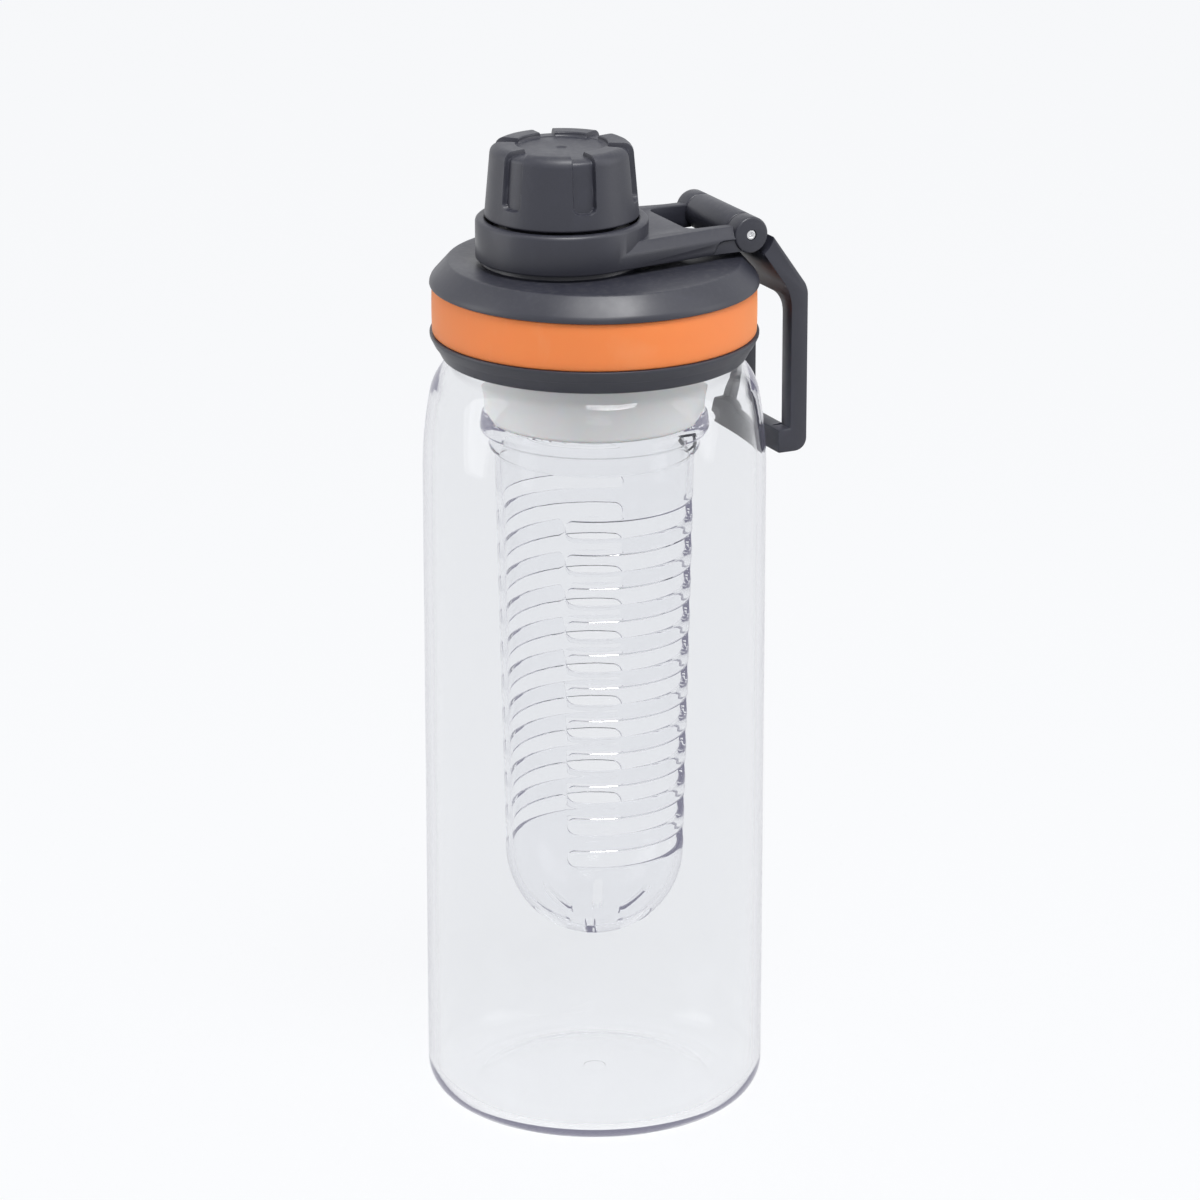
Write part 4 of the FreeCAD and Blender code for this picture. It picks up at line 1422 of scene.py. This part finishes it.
@dataclass
class CarryLoop:
    """The swivel bracket on the spout's boss, the hinge pin and the swinging loop."""

    ring_bore: float = 16.3
    ring_pocket: float = 17.6
    ring_ledge: float = 5.4
    ring_edge: float = 0.9
    ring_out: float = 19.9
    ring_height: float = 9.4
    ring_lift: float = 0.45
    core_below: float = 5.0
    core_above: float = 15.0
    spout_x: float = -8.3
    rail_lift: float = 0.55
    rail_height: float = 5.7
    slope_width: float = 2.0
    slope_drop: float = 2.4
    window: float = 14.0
    window_corner: float = 2.5
    ear: float = 4.25
    ear_width: float = 4.8
    pin_sunk: float = 0.2
    pin_centre: float = 0.6
    ear_play: float = 0.02
    barrel_play: float = 0.04
    tuck: float = 0.06
    recess: float = 0.5
    recess_length: float = 6.0
    recess_lean: float = 2.4
    recess_corner: float = 1.2
    recess_reach: float = 3.0
    hinge_gap: float = 0.3
    bar: float = 4.4
    bar_width: float = 4.8
    knee_drop: float = 14.0
    knee: float = 1.6
    inner_knee: float = 3.0
    foot_reach: float = 7.45
    foot_height: float = 5.6
    foot_depth: float = 4.0
    foot_corner: float = 3.0
    loop_drop: float = 16.5
    loop_corner: float = 4.0
    ear_clear: float = 1.6
    soft: float = 0.4
    corner_cells: int = 7
    crease: float = 35.0

    def build(self, finishes: Finishes) -> None:
        """Make the three pieces."""
        pin = Room.of("hinge_pin")
        self._bracket(pin, finishes)
        self._pin(pin, finishes)
        self._loop(pin, finishes)

    def _ring(self, room: Room) -> BMesh:
        """Ring that turns on the boss, with a ledge under the snap bead."""
        foot = room.low.z + self.ring_lift
        top = foot + self.ring_height
        return turned([
            Corner(self.ring_bore, foot, 0.3),
            Corner(self.ring_out, foot, 0.5),
            Corner(self.ring_out, top, self.ring_edge),
            Corner(self.ring_pocket, top, 0.5),
            Corner(self.ring_pocket, foot + self.ring_ledge, 0.2),
            Corner(self.ring_bore, foot + self.ring_ledge, 0.2),
        ], self.spout_x, closed=True, steps=128)

    def _plate(self, pin: Room, room: Room) -> BMesh:
        """Plate from the ring to the ears, with its window and its sloped sides."""
        half = pin.radius + self.pin_sunk - self.tuck
        inside = pin.radius + self.pin_sunk - self.ear_width + self.tuck
        ear_x = pin.middle.x - 2 * self.ear
        end = pin.middle.x - self.ear / 2
        window = pin.middle.x - self.window
        foot = room.low.z + self.rail_lift
        side = [(self.spout_x, self.ring_out), (ear_x, half), (end, half), (end, inside)]
        bends = [math.radians(15 * k) for k in range(7)]
        corner = [(window + self.window_corner * (1 - math.sin(a)),
                   inside - self.window_corner * (1 - math.cos(a))) for a in bends]
        flank = side + corner
        plan = flank + [(x, -y) for x, y in reversed(flank)]
        rise = Vector((0, 0, self.rail_height - self.slope_drop))
        shape = prism([Vector((x, y, foot)) for x, y in plan], rise)
        lid = [f for f in shape.faces if f.normal.z > 0.9]
        grown = bmesh.ops.extrude_face_region(shape, geom=lid)["geom"]
        bmesh.ops.delete(shape, geom=lid, context="FACES_ONLY")
        for vert in (g for g in grown if isinstance(g, BMVert)):
            vert.co.z += self.slope_drop
            if abs(vert.co.y) > inside + WELD:
                vert.co.y -= math.copysign(self.slope_width, vert.co.y)
        bmesh.ops.recalc_face_normals(shape, faces=shape.faces)
        soften(shape, sharp_edges(shape, 30), self.soft, 2)
        return shape

    def _recess(self, pin: Room, foot: float, side: int) -> BMesh:
        """Tool for the shallow recess in a rail's side, with drafted walls and a leaning end.

        Args:
            pin: the hinge pin's space.
            foot: height of the rails' foot.
            side: 1 for the rail at +Y and -1 for the other.

        Returns:
            The closed tool.
        """
        floor = pin.radius + self.pin_sunk - self.recess
        end = pin.middle.x - self.ear / 2
        start = pin.middle.x - self.ear - self.recess_length
        top = foot + self.rail_height - self.slope_drop - self.recess
        plan = [(start, foot - PAST), (end, foot - PAST), (end, top), (start + self.recess_lean, top)]
        reach = self.recess_reach
        tool = prism([Vector((x, side * floor, z)) for x, z in plan], Vector((0, side * reach, 0)))
        outer = [v for v in tool.verts if abs(v.co.y) > floor + WELD]
        for vert in outer:
            vert.co += Vector((-reach, 0, reach if vert.co.z > foot else 0))
        heel = [e for e in tool.edges if all(v.co.z > foot and v.co.x < end - reach - WELD for v in e.verts)]
        soften(tool, heel, self.recess_corner, 5)
        return tool

    def _bracket(self, pin: Room, finishes: Finishes) -> None:
        """The dark bracket."""
        room = Room.of("carry_bracket")
        half = pin.radius + self.pin_sunk
        inside = half - self.ear_width
        hinge = Vector((pin.middle.x, 0, pin.middle.z))
        foot = room.low.z + self.rail_lift
        wall = (self.ring_pocket + self.ring_out) / 2
        low = Vector((self.spout_x, 0, foot - self.core_below))
        high = Vector((self.spout_x, 0, foot + self.core_above))
        tools = [(Cut.TAKE, rod(wall, low, high, steps=128))]
        tools += [(Cut.TAKE, self._recess(pin, foot, side)) for side in (1, -1)]
        tools.append((Cut.ADD, self._ring(room)))
        for side in (1, -1):
            ends = [hinge + Vector((0, side * inside, 0)), hinge + Vector((0, side * half, 0))]
            tools.append((Cut.ADD, rod(self.ear, *ends, soft=0.5, steps=64)))
        reach = Vector((0, half + PAST, 0))
        bore = pin.high.x - pin.middle.x + self.ear_play
        tools.append((Cut.TAKE, rod(bore, hinge - reach, hinge + reach, steps=32)))
        shape = carved(self._plate(pin, room), tools)
        place(shape, "swivel_bracket", Seat("carry_bracket", Body.BRACKET, Slot.DARK_PLASTIC), finishes.dark,
              self.crease)

    def _pin(self, pin: Room, finishes: Finishes) -> None:
        """The steel pin with a drilled centre in each end."""
        radius = pin.high.x - pin.middle.x
        half = pin.radius
        drilled = half - self.pin_centre
        shape = turned([
            Corner(0.0, -drilled),
            Corner(self.pin_centre * 0.6, -drilled, 0.1),
            Corner(self.pin_centre, -half, 0.1),
            Corner(radius, -half, 0.3),
            Corner(radius, half, 0.3),
            Corner(self.pin_centre, half, 0.1),
            Corner(self.pin_centre * 0.6, drilled, 0.1),
            Corner(0.0, drilled),
        ], steps=40)
        turn = Matrix.Rotation(math.pi / 2, 3, "X")
        bmesh.ops.rotate(shape, verts=shape.verts, cent=(0, 0, 0), matrix=turn)
        bmesh.ops.translate(shape, vec=(pin.middle.x, 0, pin.middle.z), verts=shape.verts)
        place(shape, "pivot_pin", Seat("hinge_pin", Body.BRACKET, Slot.PIN_STEEL), finishes.steel)

    def _loop_side(self, pin: Room, room: Room) -> list[Vector]:
        """Side view of plate, bars and foot."""
        reach = room.high.x - pin.middle.x
        distance = math.hypot(reach, self.knee_drop)
        lean = math.atan2(-self.knee_drop, reach) + math.acos(self.ear / distance)
        off = Vector((math.cos(lean), 0, math.sin(lean)))
        along = Vector((off.z, 0, -off.x))
        hinge = Vector((pin.middle.x, 0, pin.middle.z))
        inner_x = room.high.x - self.bar
        inner = hinge + off * (self.ear - self.bar)
        knee = inner + along * ((inner_x - inner.x) / along.x)
        foot = room.low.z
        foot_x = room.high.x - self.foot_reach
        return [
            hinge + off * (self.ear - self.tuck),
            Vector((room.high.x, 0, pin.middle.z - self.knee_drop)),
            Vector((room.high.x, 0, foot)),
            Vector((foot_x, 0, foot)),
            Vector((foot_x, 0, foot + self.foot_height)),
            Vector((inner_x, 0, foot + self.foot_height)),
            knee,
            inner,
        ]

    def _loop_opening(self, pin: Room, room: Room, half: float) -> BMesh:
        """Tool for the finger opening, with round corners at its top."""
        low = room.low.z + self.foot_height
        high = pin.middle.z - self.loop_drop
        back = room.high.x - self.foot_reach - PAST
        tool = block(Vector((back, -half, low)), Vector((room.high.x + PAST, half, high)))
        upper = [e for e in tool.edges if all(v.co.z > high - WELD for v in e.verts)]
        lengthwise = [e for e in upper if abs(e.verts[0].co.y - e.verts[1].co.y) < WELD]
        soften(tool, lengthwise, self.loop_corner, self.corner_cells)
        return tool

    def _loop(self, pin: Room, finishes: Finishes) -> None:
        """The dark loop with its hinge barrel."""
        room = Room.of("carry_handle")
        half = room.radius
        inside = half - self.bar_width
        barrel = inside - self.hinge_gap
        hinge = Vector((pin.middle.x, 0, pin.middle.z))
        side = [p + Vector((0, -half, 0)) for p in self._loop_side(pin, room)]
        slab = prism(side, Vector((0, 2 * half, 0)))
        for spot, size in ((side[1], self.knee), (side[2], self.foot_corner), (side[6], self.inner_knee)):
            across = [e for e in slab.edges if all((v.co - spot).xz.length < WELD for v in e.verts)]
            soften(slab, across, size, self.corner_cells)
        clear = self.ear + self.ear_clear
        front = room.high.x - self.foot_reach + self.foot_depth
        tools = [(Cut.TAKE, self._loop_opening(pin, room, inside))]
        for way in (1, -1):
            ends = [hinge + Vector((0, way * barrel, 0)), hinge + Vector((0, way * (half + PAST), 0))]
            tools.append((Cut.TAKE, rod(clear, *ends, steps=48)))
        low = Vector((front, -inside, room.low.z - PAST))
        high = Vector((room.high.x + PAST, inside, room.low.z + self.foot_height + PAST))
        tools.append((Cut.TAKE, block(low, high)))
        shape = carved(slab, tools)
        bmesh.ops.dissolve_limit(shape, angle_limit=math.radians(0.5), verts=shape.verts, edges=shape.edges)
        soften(shape, sharp_edges(shape, 28), self.soft, 2)
        end = Vector((0, barrel + self.tuck, 0))
        bore = Vector((0, half + PAST, 0))
        hole = pin.high.x - pin.middle.x + self.barrel_play
        shape = carved(shape, [
            (Cut.ADD, rod(self.ear, hinge - end, hinge + end, soft=0.4, steps=64)),
            (Cut.TAKE, rod(hole, hinge - bore, hinge + bore, steps=32)),
        ])
        place(shape, "carry_loop", Seat("carry_handle", Body.HANDLE, Slot.DARK_PLASTIC), finishes.dark,
              self.crease)


@dataclass(frozen=True)
class Lamp:
    """A soft oval lamp, placed as the camera sees it: +X to the right and -Y towards the camera.

    Attributes:
        name: its name.
        spot: where it hangs, in metres.
        size: its width and height.
        power: its power in watts.
    """

    name: str
    spot: tuple[float, float, float]
    size: tuple[float, float]
    power: float


@dataclass
class Studio:
    """Pale floor, white surround, soft lamps and the camera."""

    backdrop: Shade = Shade(0.947, 0.956, 0.973)
    floor_half: float = 6.0
    floor_drop: float = 0.0002
    floor_roughness: float = 0.9
    floor_glow: float = 1.01
    shadow_share: float = 0.05
    ambient: float = 0.28
    lamps: tuple[Lamp, ...] = (
        Lamp("right_softbox", (0.75, -0.10, 0.45), (0.40, 0.9), 1.7),
        Lamp("left_softbox", (-0.75, -0.05, 0.35), (0.40, 0.9), 2.0),
        Lamp("top_softbox", (0.15, -0.40, 1.10), (0.50, 0.38), 9.8),
        Lamp("front_softbox", (0.05, -0.85, 0.75), (0.30, 0.25), 0.6),
    )
    lamp_aim: float = 0.13
    camera_distance: float = 1.300
    camera_azimuth: float = -26.0
    camera_elevation: float = 18.0
    camera_lens: float = 166.2
    camera_sensor: float = 36.0
    camera_clip: tuple[float, float] = (0.05, 50.0)
    aim_up: float = 0.1222
    aim_side: float = 0.00129

    def build(self) -> None:
        """Set up everything round the bottle."""
        self._world()
        self._floor()
        self._lamps()
        self._camera()
        bpy.context.scene.view_settings.view_transform = "Standard"

    @staticmethod
    def _seen(tree: bpy.types.NodeTree) -> bpy.types.NodeSocket:
        """1 for rays from the camera, mirrors and glass, and 0 for light that falls on the bottle."""
        path = tree.nodes.new("ShaderNodeLightPath")
        value = path.outputs["Is Camera Ray"]
        for label in ("Is Glossy Ray", "Is Transmission Ray"):
            value = combined(tree, "MAXIMUM", value, path.outputs[label])
        return value

    def _world(self) -> None:
        """White surround for the eye, a dimmer one for the light it gives."""
        world = bpy.data.worlds.new("studio")
        bpy.context.scene.world = world
        world.use_nodes = True
        tree = world.node_tree
        light = tree.nodes["Background"]
        light.inputs["Color"].default_value = (1.0, 1.0, 1.0, 1.0)
        light.inputs["Strength"].default_value = self.ambient
        shown = tree.nodes.new("ShaderNodeBackground")
        shown.inputs["Color"].default_value = self.backdrop.rgba
        whole = mixed(tree, self._seen(tree), light, shown)
        tree.links.new(whole.outputs[0], tree.nodes["World Output"].inputs["Surface"])

    def _floor(self) -> None:
        """Pale floor that keeps a soft shadow."""
        bm = bmesh.new()
        bmesh.ops.create_grid(bm, x_segments=1, y_segments=1, size=self.floor_half)
        mesh = bpy.data.meshes.new("floor")
        bm.to_mesh(mesh)
        bm.free()
        material = bpy.data.materials.new("pale_floor")
        material.use_nodes = True
        tree = material.node_tree
        paint = tree.nodes["Principled BSDF"]
        paint.inputs["Base Color"].default_value = self.backdrop.rgba
        paint.inputs["Roughness"].default_value = self.floor_roughness
        paint.inputs["Specular IOR Level"].default_value = 0.0
        glow = tree.nodes.new("ShaderNodeEmission")
        glow.inputs["Color"].default_value = self.backdrop.rgba
        glow.inputs["Strength"].default_value = self.floor_glow
        share = combined(tree, "MULTIPLY", self._seen(tree), 1.0 - self.shadow_share)
        whole = mixed(tree, share, paint, glow)
        tree.links.new(whole.outputs[0], tree.nodes["Material Output"].inputs["Surface"])
        mesh.materials.append(material)
        floor = bpy.data.objects.new("floor", mesh)
        floor.location.z = -self.floor_drop
        bpy.context.scene.collection.objects.link(floor)

    def _lamps(self) -> None:
        """A strong lamp above, weaker ones at both sides and a faint one in front, all facing the bottle."""
        turn = Matrix.Rotation(math.radians(self.camera_azimuth), 3, "Z")
        for lamp in self.lamps:
            data = bpy.data.lights.new(lamp.name, "AREA")
            data.shape = "ELLIPSE"
            data.size, data.size_y = lamp.size
            data.energy = lamp.power
            spot = turn @ Vector(lamp.spot)
            thing = bpy.data.objects.new(lamp.name, data)
            thing.location = spot
            way = Vector((0, 0, self.lamp_aim)) - spot
            thing.rotation_euler = way.to_track_quat("-Z", "Y").to_euler()
            bpy.context.scene.collection.objects.link(thing)

    def _camera(self) -> None:
        """Camera at the photograph's viewing angle."""
        data = bpy.data.cameras.new("camera")
        data.sensor_width = self.camera_sensor
        data.lens = self.camera_lens
        data.clip_start, data.clip_end = self.camera_clip
        azimuth = math.radians(self.camera_azimuth)
        elevation = math.radians(self.camera_elevation)
        level = math.cos(elevation)
        back = Vector((math.sin(azimuth) * level, -math.cos(azimuth) * level, math.sin(elevation)))
        right = Vector((math.cos(azimuth), math.sin(azimuth), 0.0))
        camera = bpy.data.objects.new("camera", data)
        camera.location = Vector((0, 0, self.aim_up)) + right * self.aim_side + back * self.camera_distance
        camera.rotation_euler = (-back).to_track_quat("-Z", "Y").to_euler()
        bpy.context.scene.collection.objects.link(camera)
        bpy.context.scene.camera = camera


def write_size() -> None:
    """Bring the scene's placements up to date."""
    bpy.context.view_layer.update()


def main() -> None:
    """Build the bottle piece by piece, then the studio round it."""
    logging.basicConfig(level=logging.INFO, format="%(name)s: %(message)s")
    finishes = Finishes()
    for part in (ClearBottle(), Lid(), SpoutCap(), Infuser(), CarryLoop()):
        part.build(finishes)
    Studio().build()
    write_size()


if __name__ == "__main__":
    main()
